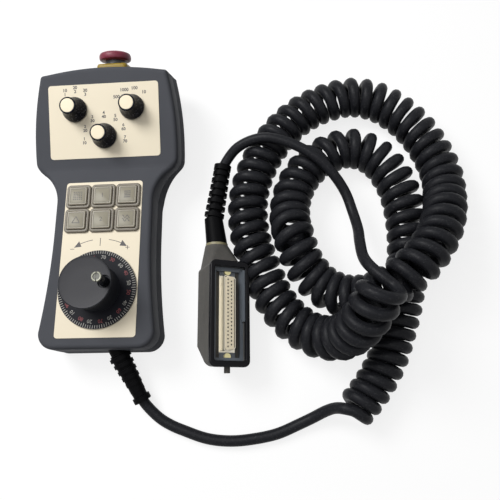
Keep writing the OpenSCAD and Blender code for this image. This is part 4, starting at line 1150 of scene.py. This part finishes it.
def makeFlangeEnds(plan):
    width, near, far, low, high = plan["flangeEnd"]
    pieces = []
    for side, name in ((1, "upper"), (-1, "lower")):
        start, stop = sorted((side * near, side * far))
        shape = boxShape((-width / 2, start, low), (width / 2, stop, high))
        end = makeObject(name + "FlangeEnd", *shape, place=plugPlace)
        screwPlace = plugPlace @ shift(0, side * plan["flangePitch"] / 2, 0)
        carve(end, [drill("screwGap", screwPlace, plan["screwGap"], -12, 0, 32)])
        pieces.append(dress(end, "recessLiner", "housing"))
    return pieces


def makeRecess(plan):
    shapes = [boxShape(low, high) for low, high in plan["rails"]]
    rails = makeObject("recessRails", *joinShapes(shapes), place=plugPlace)
    return [dress(rails, "recessLiner", "housing")]


plugPieces = makeInsert(plugPlan) + makeRim(plugPlan) + makeFlangeEnds(plugPlan) + makeRecess(plugPlan)
print("plug ready")


# solids that keep their own shape
solidFinishes = {
    "steel": ["housing_screws", "left_shaft", "right_shaft", "centre_shaft", "switch_nuts", "board_screws",
              "encoder_shaft", "encoder_screws", "estop_nut"],
    "stopBlack": ["left_switch", "right_switch", "centre_switch", "key_switches", "estop_body",
                  "estop_plunger"],
    "labelFoil": ["head_label", "grip_label"],
    "boardGreen": ["circuit_board"],
    "plating": ["encoder_body", "dsub_shell"],
    "bootRubber": ["housing_strain_relief", "plug_strain_relief"],
    "sealRubber": ["plug_ring"],
    "hoodPlastic": ["plug_hood", "locking_peg"],
    "brassScrew": ["dsub_screws"],
}


def dressSolid(nodeName, finish):
    mesh = cadNodes[nodeName].data
    mesh.materials.clear()
    mesh.materials.append(finishes[finish])
    mesh.polygons.foreach_set("use_smooth", [True] * len(mesh.polygons))
    mesh.set_sharp_from_angle(angle=math.radians(30))


for finishName, nodeNames in solidFinishes.items():
    for nodeName in nodeNames:
        dressSolid(nodeName, finishName)
print("solids dressed")


# light and floor, in metres
lightPlan = {
    "keyLamp": {"place": (-0.45, 0.45, 0.85), "aim": (0.1, 0.05, 0.0), "size": 0.5, "power": 8.5},
    "fillLamp": {"place": (0.75, -0.35, 0.85), "aim": (0.1, 0.0, 0.0), "size": 0.4, "power": 0.5},
    "topLamp": {"place": (-0.15, 0.1, 1.1), "aim": (0.1, 0.05, 0.0), "size": 0.9, "power": 4.3},
}
roomPlan = {
    "light": 0.12, "seen": 1.0, "floorHalf": 6, "floorLow": -0.0002, "floorGrey": 0.22, "floorGlow": 0.81,
}


def addLamp(name, plan):
    data = bpy.data.lights.new(name, "AREA")
    data.shape, data.size, data.energy = "DISK", plan["size"], plan["power"]
    lamp = bpy.data.objects.new(name, data)
    lamp.location = plan["place"]
    lamp.rotation_mode = "QUATERNION"
    lamp.rotation_quaternion = (Vector(plan["aim"]) - Vector(plan["place"])).to_track_quat("-Z", "Y")
    bpy.context.scene.collection.objects.link(lamp)


for lampName, lampPlan in lightPlan.items():
    addLamp(lampName, lampPlan)


def seenStrength(tree, plain, seen):  # plain for light, seen by the eye and in reflections
    path = addNode(tree, "ShaderNodeLightPath")
    direct = addNode(tree, "ShaderNodeMath", [
        (0, path.outputs["Is Camera Ray"]), (1, path.outputs["Is Glossy Ray"])], operation="MAXIMUM")
    either = addNode(tree, "ShaderNodeMath", [
        (0, direct.outputs[0]), (1, path.outputs["Is Transmission Ray"])], operation="MAXIMUM")
    strength = addNode(tree, "ShaderNodeMapRange", [
        ("Value", either.outputs[0]), ("To Min", plain), ("To Max", seen)])
    return strength.outputs["Result"]


def makeWorld(plan):
    world = bpy.data.worlds.new("paleRoom")
    bpy.context.scene.world = world
    world.use_nodes = True
    tree = world.node_tree
    sky = tree.nodes["Background"]
    sky.inputs["Color"].default_value = (1, 1, 1, 1)
    tree.links.new(seenStrength(tree, plan["light"], plan["seen"]), sky.inputs["Strength"])


def floorFinish(plan):
    finish = bpy.data.materials.new("paleFloorFinish")
    finish.use_nodes = True
    tree = finish.node_tree
    tree.nodes.clear()
    grey = plan["floorGrey"]
    diffuse = addNode(tree, "ShaderNodeBsdfDiffuse", [("Color", (grey, grey, grey, 1))])
    glow = addNode(tree, "ShaderNodeEmission", [
        ("Color", (1, 1, 1, 1)), ("Strength", seenStrength(tree, 0.0, plan["floorGlow"]))])
    both = addNode(tree, "ShaderNodeAddShader")
    tree.links.new(diffuse.outputs[0], both.inputs[0])
    tree.links.new(glow.outputs[0], both.inputs[1])
    out = addNode(tree, "ShaderNodeOutputMaterial")
    tree.links.new(both.outputs[0], out.inputs["Surface"])
    return finish


def makeFloor(plan):
    half, low = plan["floorHalf"], plan["floorLow"]
    corners = [(-half, -half, low), (half, -half, low), (half, half, low), (-half, half, low)]
    mesh = bpy.data.meshes.new("paleFloor")
    mesh.from_pydata(corners, [], [(0, 1, 2, 3)])
    mesh.materials.append(floorFinish(plan))
    floor = bpy.data.objects.new("paleFloor", mesh)
    bpy.context.scene.collection.objects.link(floor)


makeWorld(roomPlan)
makeFloor(roomPlan)
print("light and floor ready")
